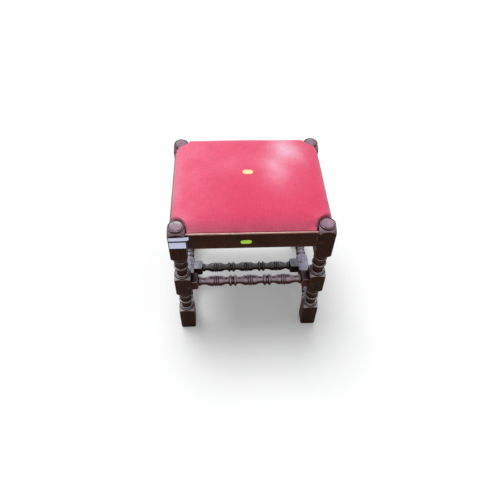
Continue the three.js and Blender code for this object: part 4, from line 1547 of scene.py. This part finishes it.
@dataclass
class PadForm:
    """The shape of the padded seat: straight edges, a hollow round each leg, a stuffed edge and a low crown."""

    half_x: float = 201.5 * MM
    half_y: float = 172 * MM
    hollow_x: float = 202.1 * MM
    hollow_y: float = 175.1 * MM
    hollow_radius: float = 39.5 * MM
    bottom: float = 418.3 * MM
    foot: float = 434.5 * MM  # of the stuffed edge
    roll_height: float = 22.6 * MM
    roll_width: float = 14 * MM
    crown: float = 4.6 * MM
    bulge_x: float = 2.6 * MM
    bulge_y: float = 1.0 * MM
    arch: float = 3.2 * MM  # how much higher the middle of an edge is than its ends
    back_fill: float = 0.7  # how far the stuffing swells over the hollows at the back
    button: tuple[float, float, float] = (189.05 * MM, 162.05 * MM, 23 * MM)  # it hugs each front leg's top this closely
    button_foot: float = 443 * MM
    front_width: float = 22 * MM  # of the stuffed edge at the front, which slopes more gently
    corner_reach: float = 9 * MM  # how far the back corners spread along the edges above the buttons
    front_gap: float = 5 * MM
    tucks: tuple[Row, ...] = ((1, 6 * MM), (-1, 1 * MM))  # how far each front corner is drawn back
    tuck_width: float = 26 * MM
    disc_top: float = 451.4 * MM  # it swells over the legs' buttons above this
    roll_shares: tuple[tuple[float, float, float], ...] = (
        (0, 0, 0),
        (0, 0.08, 0.4),
        (0, 0.17, 0.75),
        (0, 0.33, 1),
        (0.02, 0.45, 0.98),
        (0.07, 0.58, 0.85),
        (0.15, 0.7, 0.65),
        (0.28, 0.81, 0.42),
        (0.44, 0.9, 0.22),
        (0.7, 0.97, 0.06),
        (1, 1, 0),
    )

    def _round_button(self, share: float) -> Row:
        """A place on the circle round a leg's button, from the side of the seat to its end."""
        x, y, radius = self.button
        start = math.atan2(-math.sqrt(radius**2 - (self.half_x - x) ** 2), self.half_x - x)
        end = math.atan2(self.half_y - y, -math.sqrt(radius**2 - (self.half_y - y) ** 2)) - 2 * math.pi
        angle = start + (end - start) * share
        return x + radius * math.cos(angle), y + radius * math.sin(angle)

    def _quarter(self, set_in: float, end_in: float, bulge: float, fill: float, hug: float, spared: float) -> list[Row]:
        """A quarter of the outline, from the middle of a side to the middle of the front or back.

        Args:
            set_in: How far its side is drawn in.
            end_in: How far its front or back is drawn in.
            bulge: How far the stuffing swells, from 0 to 1.
            fill: How far it fills the hollow at the leg, from 0 to 1.
            hug: How closely it follows the leg's button, from 0 to 1.
            spared: How much less a hollow is drawn in than a side, as a share.

        Returns:
            Its points.
        """
        edge_steps, arc_steps = 12, 10
        side_end = self.hollow_y - math.sqrt(self.hollow_radius**2 - (self.hollow_x - self.half_x) ** 2)
        front_end = self.hollow_x - math.sqrt(self.hollow_radius**2 - (self.hollow_y - self.half_y) ** 2)
        start = math.atan2(side_end - self.hollow_y, self.half_x - self.hollow_x)
        sweep = math.atan2(self.half_y - self.hollow_y, front_end - self.hollow_x) - start
        quarter = []
        for i in range(edge_steps):
            swell = bulge * math.cos(math.pi / 2 * i / edge_steps) ** 0.3
            quarter.append((self.half_x, side_end * i / edge_steps, self.bulge_x * swell, 0.0))
        for i in range(arc_steps + 1):
            share = i / arc_steps
            angle = start + sweep * share
            arc_x, arc_y = self.hollow_x + self.hollow_radius * math.cos(angle), self.hollow_y + self.hollow_radius * math.sin(angle)
            chord_x, chord_y = self.half_x + (front_end - self.half_x) * share, side_end + (self.half_y - side_end) * share
            round_x, round_y = self._round_button(share)
            spare = spared * math.sin(math.pi * share) ** 0.6
            out_x = (chord_x - arc_x) * self.back_fill + self.corner_reach * max(2 * share - 1, 0) ** 2
            out_y = (chord_y - arc_y) * self.back_fill + self.corner_reach * max(1 - 2 * share, 0) ** 2
            out_x, out_y = out_x * fill + (round_x - arc_x) * hug, out_y * fill + (round_y - arc_y) * hug
            quarter.append((arc_x, arc_y, out_x + set_in * spare, out_y + end_in * spare))
        for i in range(edge_steps - 1, -1, -1):
            swell = bulge * math.cos(math.pi / 2 * i / edge_steps) ** 0.3
            quarter.append((front_end * i / edge_steps, self.half_y, 0.0, self.bulge_y * swell))
        share_x, share_y = 1 - set_in / self.half_x, 1 - end_in / self.half_y
        return [(x * share_x + out_x, y * share_y + out_y) for x, y, out_x, out_y in quarter]

    def outline(self, set_in: float = 0, bulge: float = 0, fill: float = 0, hug: float = 0, front_in: float | None = None, spared: float = 1) -> list[Row]:
        """The seat's outline seen from above.

        Args:
            set_in: How far it is drawn in.
            front_in: How far its front is drawn in, where that differs.
            bulge: How far the stuffing swells, from 0 to 1.
            fill: How far it swells over the back legs, from 0 to 1.
            hug: How closely it follows the front legs' buttons, from 0 to 1.
            spared: How far its hollows are kept from being drawn in, from 0 to 1.

        Returns:
            Its points.
        """
        back = self._quarter(set_in, set_in, bulge, fill, 0, 0.4 * spared)
        front = self._quarter(set_in, set_in if front_in is None else front_in, bulge, 0, hug, 0.95 * spared)
        upper = back + [(-x, y) for x, y in reversed(back[:-1])]
        lower = front + [(-x, y) for x, y in reversed(front[:-1])]
        return upper + [(-x, -y) for x, y in lower[1:-1]]

    def _tucked(self, x: float, y: float, share: float) -> Row:
        """Where a place of the outline comes when the front corners are drawn back by a share of their tucks.

        Args:
            x: Across.
            y: Along.
            share: How much of the tuck there is.

        Returns:
            The place.
        """
        for side, depth in self.tucks:
            away = math.hypot(x - side * (self.hollow_x - self.hollow_radius), y + self.half_y) / self.tuck_width
            y += share * depth * math.exp(-(away**2))
        return x, y

    def height_at(self, x: np.ndarray, y: np.ndarray) -> np.ndarray:
        """How high the crown would be at some places, as if the stuffed edge weren't rounded over."""
        across_x, across_y = np.minimum(np.abs(x) / self.half_x, 1), np.minimum(np.abs(y) / self.half_y, 1)
        rim = self.arch * (1 - np.minimum(across_x, across_y) ** 2)
        return self.foot + self.roll_height + rim + self.crown * (1 - np.maximum(across_x, across_y) ** 2)

    def solid(self, name: str) -> bpy.types.Object:
        """The closed form, lofted from the middle of its top to the middle of its bottom.

        Args:
            name: The piece's name.

        Returns:
            The form.
        """
        rings = []
        for share in (0.2, 0.4, 0.6, 0.75, 0.87):
            places = [(x * share, y * share) for x, y in self.outline(fill=1, hug=1)]
            rings.append([(x, y, float(self.height_at(x, y))) for x, y in places])
        for across, up, out in reversed(self.roll_shares):
            drawn_in = across * self.roll_width
            level = self.foot + up * self.roll_height
            fill = min(max((level - self.disc_top) / (1.2 * MM), 0), 1)
            gap = self.front_gap * min(up / 0.3, 1)
            hug = min(max((level - self.button_foot) / (1.2 * MM), 0), 1)
            places = self.outline(drawn_in, out, fill, hug, gap + across**0.6 * self.front_width)
            places = [self._tucked(x, y, min(up / 0.3, 1)) for x, y in places]
            rings.append([(x, y, self.foot + up * (float(self.height_at(x, y)) - self.foot)) for x, y in places])
        rings.append([(x, y, self.bottom) for x, y in self.outline()])
        count = len(rings[0])
        top, low = (0, 0, float(self.height_at(0, 0))), (0, 0, self.bottom)
        points = [top] + [point for ring in rings for point in ring] + [low]
        faces = []
        for i in range(count):
            after = (i + 1) % count
            faces.append((0, 1 + i, 1 + after))
            for ring in range(len(rings) - 1):
                start, below = 1 + ring * count, 1 + (ring + 1) * count
                faces.append((start + i, below + i, below + after, start + after))
            last = 1 + (len(rings) - 1) * count
            faces.append((last + i, len(points) - 1, last + after))
        piece = from_mesh(name, points, faces)
        with editing(piece):
            bpy.ops.mesh.select_all(action="SELECT")
            bpy.ops.mesh.remove_doubles(threshold=WELD)
            bpy.ops.mesh.normals_make_consistent(inside=False)
        return piece


def nearest(edge: np.ndarray, place: np.ndarray) -> np.ndarray:
    """The place on an outline that is nearest to another place.

    Args:
        edge: The outline's points.
        place: The other place.

    Returns:
        The nearest place.
    """
    span = np.roll(edge, -1, axis=0) - edge
    share = np.clip(((place - edge) * span).sum(axis=1) / np.maximum((span**2).sum(axis=1), 1e-12), 0, 1)
    near = edge + span * share[:, None]
    return near[np.argmin(np.hypot(*(near - place).T))]


def cloth_map(piece: bpy.types.Object, places: np.ndarray) -> None:
    """Give a piece its cloth map, in metres.

    Args:
        piece: The piece.
        places: A row of two numbers for each point.
    """
    layer = piece.data.uv_layers.get(CLOTH_MAP) or piece.data.uv_layers.new(name=CLOTH_MAP)
    index = np.empty(len(piece.data.loops), dtype=int)
    piece.data.loops.foreach_get("vertex_index", index)
    layer.data.foreach_set("uv", places[index].ravel())


@dataclass
class Upholstery:
    """The red cover, pulled tight over its stuffing, and what is under it."""

    form: PadForm
    voxel: float = 5.5 * MM
    swell: float = 3.6 * MM  # the most that the cloth moves in its simulation
    thickness: float = 1.2 * MM
    hem: float = 26 * MM
    stuffing_gap: float = 2.0 * MM
    stuffing_bottom: float = 438.6 * MM
    frame_top: float = 433.8 * MM
    fold_reach: float = 6 * MM

    def _stuffed(self) -> bpy.types.Object:
        """Swell the pad's form by a cloth simulation.

        Returns:
            The closed, swollen form.
        """
        piece = self.form.solid("pad")
        apply_modifier(piece, "REMESH", mode="VOXEL", voxel_size=self.voxel, use_smooth_shade=True)
        start = corners_of(piece)
        held = self._held(start)
        self._blow(piece, held)
        move = corners_of(piece) - start
        length = np.linalg.norm(move, axis=1, keepdims=True)
        capped = self.swell * np.tanh(length / self.swell) / np.maximum(length, 1e-9)
        points = start + move * capped * (1 - held[:, None])
        move_points(piece, points + self._unevenness(points, held))
        return piece

    def _held(self, points: np.ndarray) -> np.ndarray:
        """How firmly each point is held: 1 in the rebate and at the hollows, 0 on the free top."""
        low = np.clip((self.form.foot + 3 * MM - points[:, 2]) / (4 * MM), 0, 1)
        away = np.hypot(np.abs(points[:, 0]) - self.form.hollow_x, np.abs(points[:, 1]) - self.form.hollow_y)
        wall = np.clip(1 - (away - self.form.hollow_radius - 1 * MM) / (14 * MM), 0, 1)
        return np.maximum(low, wall)

    @staticmethod
    def _blow(piece: bpy.types.Object, held: np.ndarray) -> None:
        """Run the cloth under pressure, and apply it.

        Args:
            piece: The remeshed form.
            held: How firmly each point is held.
        """
        group = piece.vertex_groups.new(name="held")
        for index, share in enumerate(held):
            if share > 0:
                group.add([index], float(share), "REPLACE")
        modifier = piece.modifiers.new("cloth", "CLOTH")
        settings = modifier.settings
        settings.use_pressure = True
        settings.uniform_pressure_force = 4
        settings.effector_weights.gravity = 0
        settings.vertex_group_mass = "held"
        settings.tension_stiffness = 18
        settings.compression_stiffness = 18
        settings.bending_stiffness = 1.5
        modifier.point_cache.frame_start = 1
        modifier.point_cache.frame_end = 20
        for number in range(1, 21):
            bpy.context.scene.frame_set(number)
        make_active(piece)
        bpy.ops.object.modifier_apply(modifier=modifier.name)
        bpy.context.scene.frame_set(1)
        piece.vertex_groups.clear()

    def _unevenness(self, points: np.ndarray, held: np.ndarray) -> np.ndarray:
        """The lumps of old stuffing, and the small tucks where the cloth is drawn in round the legs.

        Args:
            points: The points of the form.
            held: How firmly each is held.

        Returns:
            How each point moves.
        """
        x, y, z = points.T
        lumps = np.zeros(len(points))
        for wave_x, wave_y, turn, size in ((31, 12, 0.4, 0.34), (-14, 36, 1.9, 0.3), (52, 41, 0.9, 0.2), (-61, 47, 2.6, 0.17), (88, -73, 1.2, 0.12)):
            lumps += size * MM * np.sin(wave_x * x + wave_y * y + turn)
        upper = np.clip((z - self.form.foot - 8 * MM) / (10 * MM), 0, 1)
        move = np.zeros_like(points)
        move[:, 2] = lumps * upper * (1 - 0.7 * held)
        from_x, from_y = np.abs(x) - self.form.hollow_x, np.abs(y) - self.form.hollow_y
        away, angle = np.hypot(from_x, from_y), np.arctan2(from_y, from_x)
        near = np.exp(-np.maximum(away - self.form.hollow_radius, 0) / (9 * MM)) * np.clip((z - self.form.foot + 2 * MM) / (8 * MM), 0, 1)
        tucks = np.sin(angle * 22 + 6 * np.sign(x) + 3 * np.sign(y)) * near
        move[:, 2] -= 0.55 * MM * np.maximum(tucks, 0) * upper
        inward = 0.45 * MM * np.maximum(tucks, 0)
        move[:, 0] += inward * np.sign(x) * from_x / np.maximum(away, 1e-6)
        move[:, 1] += inward * np.sign(y) * from_y / np.maximum(away, 1e-6)
        return move

    def _open_bottom(self, piece: bpy.types.Object) -> None:
        """Cut away the underside inside the hem.

        Args:
            piece: The closed form.
        """
        edge = np.array(self.form.outline(self.hem))
        after = np.roll(edge, -1, axis=0)

        def inside(at: Vector) -> bool:
            """Whether a place is inside the hem's inner edge."""
            crosses = (edge[:, 1] > at.y) != (after[:, 1] > at.y)
            reach = (after[:, 0] - edge[:, 0]) * (at.y - edge[:, 1]) / np.where(crosses, after[:, 1] - edge[:, 1], 1) + edge[:, 0]
            return bool(np.count_nonzero(crosses & (at.x < reach)) % 2)

        pick_faces(piece, lambda at, normal: normal.z < -0.7 and at.z < self.form.bottom + 4 * MM and inside(at))
        with editing(piece, "FACE"):
            bpy.ops.mesh.delete(type="FACE")
        pick_edges(piece, lambda a, b: False)
        with editing(piece, "EDGE"):
            bpy.ops.mesh.select_non_manifold(extend=False)
        points = corners_of(piece)
        rim = np.array([vertex.select for vertex in piece.data.vertices])
        for index in np.flatnonzero(rim):
            points[index] = (*nearest(edge, points[index, :2]), self.form.bottom)
        move_points(piece, points)

    def _squared(self, points: np.ndarray) -> np.ndarray:
        """Push the wall and the hem's fold out to the seat's outline, as far up as the frame stands behind them.

        Args:
            points: The points of the cover.

        Returns:
            Their places over the frame.
        """
        edge = np.array(self.form.outline())
        before, after = np.roll(edge, 1, axis=0), np.roll(edge, -1, axis=0)
        first, second = edge - before, after - edge
        turn = (first * second).sum(axis=1) / np.maximum(np.linalg.norm(first, axis=1) * np.linalg.norm(second, axis=1), 1e-9)
        tips = edge[turn < 0.7]
        moved = points.copy()
        for index in np.flatnonzero(points[:, 2] < self.frame_top + 3 * MM):
            x, y, z = points[index]
            crosses = (edge[:, 1] > y) != (after[:, 1] > y)
            reach = (after[:, 0] - edge[:, 0]) * (y - edge[:, 1]) / np.where(crosses, after[:, 1] - edge[:, 1], 1) + edge[:, 0]
            step = nearest(edge, points[index, :2]) - points[index, :2]
            inside, up = float(np.hypot(*step)), max(z - self.form.bottom, 0)
            if np.count_nonzero(crosses & (x < reach)) % 2 == 0 or not 0 < inside < self.fold_reach:
                continue
            share = min(max((self.frame_top + 3 * MM - z) / (1.5 * MM), 0), 1)
            push = min(inside, up) * share
            moved[index, :2] += step / inside * push
            moved[index, 2] -= push * min(max(1.5 - up / (3 * MM), 0), 1)
            away = np.linalg.norm(tips - moved[index, :2], axis=1)
            share *= min(max(2 - away.min() / (1.4 * MM), 0), 1)
            moved[index, :2] += (tips[np.argmin(away)] - moved[index, :2]) * share
            moved[index, 2] -= max(moved[index, 2] - self.form.bottom, 0) * share * min(max(2 - up / (1.8 * MM), 0), 1)
        return moved

    def _cloth_places(self, points: np.ndarray) -> np.ndarray:
        """Where each point of the cover was on the flat cloth, before it was pulled over the edge."""
        x, y, z = points.T
        drop = np.maximum(self.form.height_at(x, y) - z, 0)
        lead = (np.abs(x) - self.form.half_x) - (np.abs(y) - self.form.half_y)
        share = 0.5 + 0.5 * np.tanh(lead / (12 * MM))
        return np.stack((x + np.sign(x) * share * drop, y + np.sign(y) * (1 - share) * drop), axis=1)

    def _cover(self, pad: bpy.types.Object) -> bpy.types.Object:
        """Make the cover from the swollen form.

        Args:
            pad: The form, which becomes the cover.

        Returns:
            The cover.
        """
        piece = named(pad, "tight_red_cover")
        self._open_bottom(piece)
        apply_modifier(piece, "SUBSURF", levels=1, render_levels=1)
        move_points(piece, self._squared(corners_of(piece)))
        self.area = sum(face.area for face in piece.data.polygons)
        cloth_map(piece, self._cloth_places(corners_of(piece)))
        apply_modifier(piece, "SOLIDIFY", thickness=self.thickness, offset=-1)
        smooth(piece, 60)
        return finish_piece(piece, Body.SEAT, RED_CLOTH.material(), ["seat_cover"])

    def _stuffing(self, pad: bpy.types.Object) -> bpy.types.Object:
        """Make the stuffing from the same form, drawn in under the cover.

        Args:
            pad: The form.

        Returns:
            The stuffing.
        """
        piece = copied(pad, "fibre_filling", Matrix())
        apply_modifier(piece, "DISPLACE", strength=-self.stuffing_gap - self.thickness * 0.5, mid_level=0)
        with editing(piece):
            bpy.ops.mesh.select_all(action="SELECT")
            bpy.ops.mesh.bisect(plane_co=(0, 0, self.stuffing_bottom), plane_no=(0, 0, 1), clear_inner=True, use_fill=True)
        smooth(piece, 60)
        finish_piece(piece, Body.SEAT, FIBRE.material(), ["seat_stuffing"])
        return piece

    def build(self) -> bpy.types.Object:
        """Make the stuffing and the cover.

        Returns:
            The cover.
        """
        pad = self._stuffed()
        stuffing = self._stuffing(pad)
        cover = self._cover(pad)
        log.info("cover: %.4f square metres of cloth", self.area)
        return cover


@dataclass
class SeatBase:
    """What carries the stuffing: a beech frame, woven webbing, hessian, and a lining under it all."""

    form: PadForm
    strap: float = 50 * MM
    strap_thickness: float = 1.4 * MM
    low: float = 434.8 * MM
    high: float = 436.5 * MM
    ramp: float = 12 * MM
    pitch_x: float = 100 * MM
    pitch_y: float = 80 * MM
    reach_x: float = 180 * MM
    reach_y: float = 150.5 * MM

    def _strap(self, name: str, axis: Axis, line: float, crossings: list[tuple[float, bool]], reach: float) -> None:
        """Weave one strap over and under the others.

        Args:
            name: Its CAD node.
            axis: The direction that it runs in.
            line: Its place across.
            crossings: Where it meets the others, and whether it goes over.
            reach: Half its length.
        """
        along = np.linspace(-reach, reach, 73)
        up = np.full_like(along, self.low)
        for at, over in crossings:
            if over:
                share = np.clip((self.strap / 2 + self.ramp - np.abs(along - at)) / self.ramp, 0, 1)
                up += (self.high - self.low) * share**2 * (3 - 2 * share)
        across = np.linspace(-self.strap / 2, self.strap / 2, 9)
        points, faces = [], []
        for i, (a, z) in enumerate(zip(along, up)):
            for j, b in enumerate(across):
                points.append((a, line + b, z) if axis is Axis.X else (line + b, a, z))
                if i and j:
                    here = i * len(across) + j
                    faces.append((here - len(across) - 1, here - 1, here, here - len(across)))
        piece = from_mesh(f"jute_{name}", points, faces)
        if axis is Axis.X:
            piece.data.flip_normals()
        cloth_map(piece, corners_of(piece)[:, :2])
        apply_modifier(piece, "SOLIDIFY", thickness=self.strap_thickness - 0.1 * MM, offset=0)
        smooth(piece, 50)
        finish_piece(piece, Body.SEAT, JUTE.material(), [name])

    def _webbing(self) -> None:
        """Weave three straps each way."""
        steps = (-1, 0, 1)
        for index, line in enumerate(steps):
            crossings = [(other * self.pitch_x, (line + other) % 2 != 0) for other in steps]
            self._strap(f"webbing_long_{index + 1}", Axis.X, line * self.pitch_y, crossings, self.reach_x)
            crossings = [(other * self.pitch_y, (line + other) % 2 == 0) for other in steps]
            self._strap(f"webbing_short_{index + 1}", Axis.Y, line * self.pitch_x, crossings, self.reach_y)

    def _plate(self, name: str, set_in: float, bottom: float, thickness: float, sag: float, spared: float) -> bpy.types.Object:
        """A sheet cut to the seat's outline and stretched flat.

        Args:
            name: The piece's name.
            set_in: How far its edge is drawn in.
            bottom: Its underside.
            thickness: Its thickness.
            sag: How far its middle hangs.
            spared: How far its hollows are kept from being drawn in, from 0 to 1.

        Returns:
            The sheet.
        """
        outline = self.form.outline(set_in, spared=spared)
        shares = (0.25, 0.5, 0.75, 0.9, 0.98, 1.0)
        points, faces = [(0.0, 0.0, bottom - sag)], []
        count = len(outline)
        for ring, share in enumerate(shares):
            points += [(x * share, y * share, bottom - sag * (1 - share**2)) for x, y in outline]
            for i in range(count):
                after, start = (i + 1) % count, 1 + ring * count
                if ring:
                    faces.append((start - count + i, start + i, start + after, start - count + after))
                else:
                    faces.append((0, start + i, start + after))
        piece = from_mesh(name, points, faces)
        cloth_map(piece, corners_of(piece)[:, :2])
        apply_modifier(piece, "SOLIDIFY", thickness=thickness, offset=1)
        smooth(piece, 50)
        return piece

    def build(self) -> None:
        """Dress the frame and make the sheets and the webbing."""
        for name, axis in (("left", Axis.Y), ("right", Axis.Y), ("front", Axis.X), ("back", Axis.X)):
            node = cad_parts[f"seat_frame_{name}"]
            for place in node.material_slots:
                place.material = BEECH.material(axis)
        self._webbing()
        hessian = self._plate("hessian_layer", 9 * MM, 437.5 * MM, 0.7 * MM, 0, 0)
        finish_piece(hessian, Body.SEAT, HESSIAN.material(), ["seat_hessian"])
        area = self._area(9 * MM, 0)
        lining = self._plate("black_dust_lining", 26.3 * MM, 418.8 * MM, 0.6 * MM, 0.25 * MM, 1)
        finish_piece(lining, Body.SEAT, BLACK_CLOTH.material(), ["seat_dust_cloth"])
        area = self._area(26.3 * MM, 1)

    def _area(self, set_in: float, spared: float) -> float:
        """The area inside the seat's outline, drawn in."""
        edge = np.array(self.form.outline(set_in, spared=spared))
        x, y = edge.T
        return float(abs(np.dot(x, np.roll(y, -1)) - np.dot(y, np.roll(x, -1))) / 2)


@dataclass
class Tacks:
    """The tacks under the seat that hold the cover's hem and the lining."""

    radius: float = 3.2 * MM
    rise: float = 1.3 * MM
    hem_x: float = 181 * MM
    hem_y: float = 151 * MM
    lining_in: float = 9 * MM  # of the lining's tacks from the hem's
    spacing: float = 24 * MM

    def _line(self, half_x: float, half_y: float, corner: float) -> list[Row]:
        """Places along a rectangle's four sides, clear of its corners.

        Args:
            half_x: Half its width.
            half_y: Half its depth.
            corner: How much of each end of a side is left out.

        Returns:
            The places.
        """
        along_x = evenly(-half_x + corner - self.spacing, half_x - corner + self.spacing, self.spacing)
        along_y = evenly(-half_y + corner - self.spacing, half_y - corner + self.spacing, self.spacing)
        places = [(x, side * half_y) for side in ENDS for x in along_x]
        return places + [(side * half_x, y) for side in ENDS for y in along_y]

    def _set(self, name: str, places: list[Row], level: float) -> None:
        """Drive one set of tacks.

        Args:
            name: The set's name.
            places: Where they go.
            level: The underside of the cloth that they hold.
        """
        rows = [(-self.rise, 0), (-self.rise * 0.93, self.radius * 0.45), (-self.rise * 0.6, self.radius * 0.85), (-0.1 * MM, self.radius), (0, self.radius * 0.97), (0, 0)]
        tack = turned("tack", rows, Axis.Z, 12)
        copies = [copied(tack, f"tack_{i}", Matrix.Translation((x, y, level))) for i, (x, y) in enumerate(places)]
        bpy.data.objects.remove(tack)
        piece = joined(name, copies)
        smooth(piece, 50)
        finish_piece(piece, Body.SEAT, TACK_IRON.material())

    def build(self) -> None:
        """Drive them all."""
        self._set("hem_tacks", self._line(self.hem_x, self.hem_y, 52 * MM), 418.2 * MM)
        inner_x, inner_y = self.hem_x - self.lining_in, self.hem_y - self.lining_in
        self._set("lining_tacks", self._line(inner_x, inner_y, 56 * MM), 418.5 * MM)


# Paper


@dataclass
class PaperStickers:
    """Blank paper stickers that the stool carries: two on a leg, one on a rail and one on the seat."""

    cover: bpy.types.Object
    thickness: float = 0.25 * MM
    stand_off: float = 0.1 * MM

    def _cut_out(self, name: str, width: float, height: float, corner: float) -> bpy.types.Object:
        """Cut a sticker that lies flat about the origin, with rounded corners.

        Args:
            name: Its name.
            width: Its width.
            height: Its height.
            corner: The radius of its corners.

        Returns:
            The sticker.
        """
        piece = block(name, (-width / 2, -height / 2, 0), (width / 2, height / 2, self.thickness))
        round_edges(piece, corner, 6, lambda a, b: abs(a.z - b.z) > self.thickness / 2)
        slice_along(piece, Axis.X, evenly(-width / 2 + corner, width / 2 - corner, 3 * MM) + [corner - width / 2, width / 2 - corner])
        return piece

    def _on_face(self, name: str, size: Row, corner: float, middle: Vector, tilt: float, finish: PlainFinish, free: float | None = None) -> None:
        """Stick one on an upright face that looks to the front.

        Args:
            name: Its name.
            size: Its width and height.
            corner: The radius of its corners.
            middle: Its middle, on the face.
            tilt: How far it is turned, in degrees.
            finish: Its paper.
            free: The place along X past which it hangs free and bends back.
        """
        piece = self._cut_out(name, *size, corner)
        turn = Matrix.Rotation(math.radians(90), 4, "X") @ Matrix.Rotation(math.radians(tilt), 4, "Z")
        moved(piece, Matrix.Translation(middle - Vector((0, self.stand_off, 0))) @ turn)
        if free is not None:
            points = corners_of(piece)
            past = np.maximum(points[:, 0] - free, 0)
            points[:, 1] += past**2 * 26
            points[:, 0] -= past**2 * 8
            move_points(piece, points)
        smooth(piece, 40)
        finish_piece(piece, Body.FRAME, finish.material())

    def _on_seat(self, name: str, size: Row, corner: float, middle: Row, tilt: float, finish: PlainFinish) -> None:
        """Stick one on the seat's cloth, which it follows.

        Args:
            name: Its name.
            size: Its width and height.
            corner: The radius of its corners.
            middle: Its middle, from above.
            tilt: How far it is turned, in degrees.
            finish: Its paper.
        """
        piece = self._cut_out(name, *size, corner)
        moved(piece, Matrix.Translation((*middle, 0)) @ Matrix.Rotation(math.radians(tilt), 4, "Z"))
        points = corners_of(piece)
        for point in points:
            found, place, _, _ = self.cover.ray_cast((point[0], point[1], 0.6), (0, 0, -1))
            point[2] += (place.z if found else 0) + 0.3 * MM
        move_points(piece, points)
        smooth(piece, 40)
        finish_piece(piece, Body.SEAT, finish.material())

    def build(self) -> None:
        """Put the four stickers on."""
        self._on_seat("yellow_paper_pill", (28.4 * MM, 17.6 * MM), 8.6 * MM, (-3.6 * MM, 13.2 * MM), -6.6, YELLOW_PAPER)
        self._on_face("green_paper_pill", (28.5 * MM, 13.6 * MM), 6.6 * MM, Vector((-15.1, -178.65, 404.4)) * MM, 1.8, GREEN_PAPER)
        upper = Vector((-183.2, -184.45, 425.4)) * MM
        self._on_face("blank_paper_label_upper", (51 * MM, 12.4 * MM), 0.6 * MM, upper, 1.8, PALE_PAPER, free=-167.5 * MM)
        lower = Vector((-187.6, -184.45, 402.2)) * MM
        self._on_face("blank_paper_label_lower", (42 * MM, 22.3 * MM), 0.6 * MM, lower, 0.6, PALE_PAPER)


# Room, lamps and camera


@dataclass
class Studio:
    """A plain white floor, a wide lamp almost overhead and the photograph's viewpoint."""

    eye: Vector = Vector((-67.06, -930.32, 1286.15)) * MM
    pitch: float = math.radians(50.48)
    yaw: float = math.radians(4.74)
    roll: float = math.radians(2.39)
    lens: float = 33.06
    floor_size: float = 9.0
    overhead_from: Vector = Vector((-0.134, 0.276, 1.0))
    overhead_level: float = 0.79
    overhead_angle: float = math.radians(35.2)
    room_level: float = 0.32

    def _camera(self) -> None:
        """Set up the camera."""
        level = math.cos(self.pitch)
        ahead = Vector((math.sin(self.yaw) * level, math.cos(self.yaw) * level, -math.sin(self.pitch)))
        right = Vector((math.cos(self.yaw), -math.sin(self.yaw), 0))
        up = right.cross(ahead)
        side = right * math.cos(self.roll) + up * math.sin(self.roll)
        top = up * math.cos(self.roll) - right * math.sin(self.roll)
        turn = Matrix((side, top, -ahead)).transposed().to_4x4()
        data = bpy.data.cameras.new("viewpoint")
        data.sensor_fit = "HORIZONTAL"
        data.sensor_width = 36
        data.lens = self.lens
        camera = bpy.data.objects.new("viewpoint", data)
        camera.matrix_world = Matrix.Translation(self.eye) @ turn
        bpy.context.scene.collection.objects.link(camera)
        bpy.context.scene.camera = camera

    @staticmethod
    def _seen_directly(sheet: NodeSheet) -> bpy.types.NodeSocket:
        """1 for camera, glossy and transmission rays, and 0 for the light on the object."""
        path = sheet.node("ShaderNodeLightPath")
        seen = sheet.maths("ADD", path.outputs["Is Camera Ray"], path.outputs["Is Glossy Ray"])
        return sheet.maths("ADD", seen, path.outputs["Is Transmission Ray"], clamp=True)

    def _floor(self) -> None:
        """Lay the floor."""
        clear_selection()
        bpy.ops.mesh.primitive_plane_add(size=self.floor_size)
        floor = named(bpy.context.object, "pale_floor")
        material, sheet, shader = new_material("pale_floor")
        shader.inputs["Base Color"].default_value = (0.78, 0.78, 0.78, 1)
        shader.inputs["Roughness"].default_value = 0.9
        shader.inputs["Specular IOR Level"].default_value = 0.0
        shader.inputs["Emission Color"].default_value = (1, 1, 1, 1)
        sheet.feed(shader.inputs["Emission Strength"], sheet.maths("MULTIPLY", self._seen_directly(sheet), 0.2))
        dress(floor, material)

    def _world(self) -> None:
        """Fill the room with a little even light."""
        world = bpy.data.worlds.new("room")
        bpy.context.scene.world = world
        world.use_nodes = True
        sheet = NodeSheet(world.node_tree)
        back = world.node_tree.nodes["Background"]
        seen = self._seen_directly(sheet)
        sheet.feed(back.inputs["Color"], sheet.mixed(seen, (0.96, 0.98, 1.0), (1.0, 1.0, 1.0)))
        sheet.feed(back.inputs["Strength"], sheet.maths("MULTIPLY_ADD", seen, 1 - self.room_level, self.room_level))

    @staticmethod
    def _light(name: str, comes_from: Vector, level: float, angle: float, colour: Colour) -> None:
        """Hang a wide, far light.

        Args:
            name: Its name.
            comes_from: The direction that it comes from.
            level: How brightly it lights a white surface that faces it, from 0 to 1.
            angle: How wide it looks from the stool.
            colour: Its colour.
        """
        data = bpy.data.lights.new(name, "SUN")
        data.energy = level * math.pi
        data.angle = angle
        data.color = colour
        light = bpy.data.objects.new(name, data)
        light.matrix_world = comes_from.to_track_quat("Z", "Y").to_matrix().to_4x4()
        bpy.context.scene.collection.objects.link(light)

    def build(self) -> None:
        """Set up the whole room."""
        self._camera()
        self._floor()
        self._world()
        self._light("overhead_light", self.overhead_from, self.overhead_level, self.overhead_angle, (1.0, 1.0, 1.0))
        bpy.context.scene.view_settings.view_transform = "Standard"


def write_sizes() -> None:
    """Bring the view layer up to date."""
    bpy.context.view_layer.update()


def main() -> None:
    """Build the room, the wooden frame, the seat and the paper on them."""
    logging.basicConfig(level=logging.INFO, format="%(name)s: %(message)s")
    Studio().build()
    pegs = Pegs()
    Legs(pegs).build()
    Rails().build()
    Stretchers(pegs).build()
    pegs.build()
    form = PadForm()
    cover = Upholstery(form).build()
    SeatBase(form).build()
    Tacks().build()
    PaperStickers(cover).build()
    write_sizes()


if __name__ == "__main__":
    main()
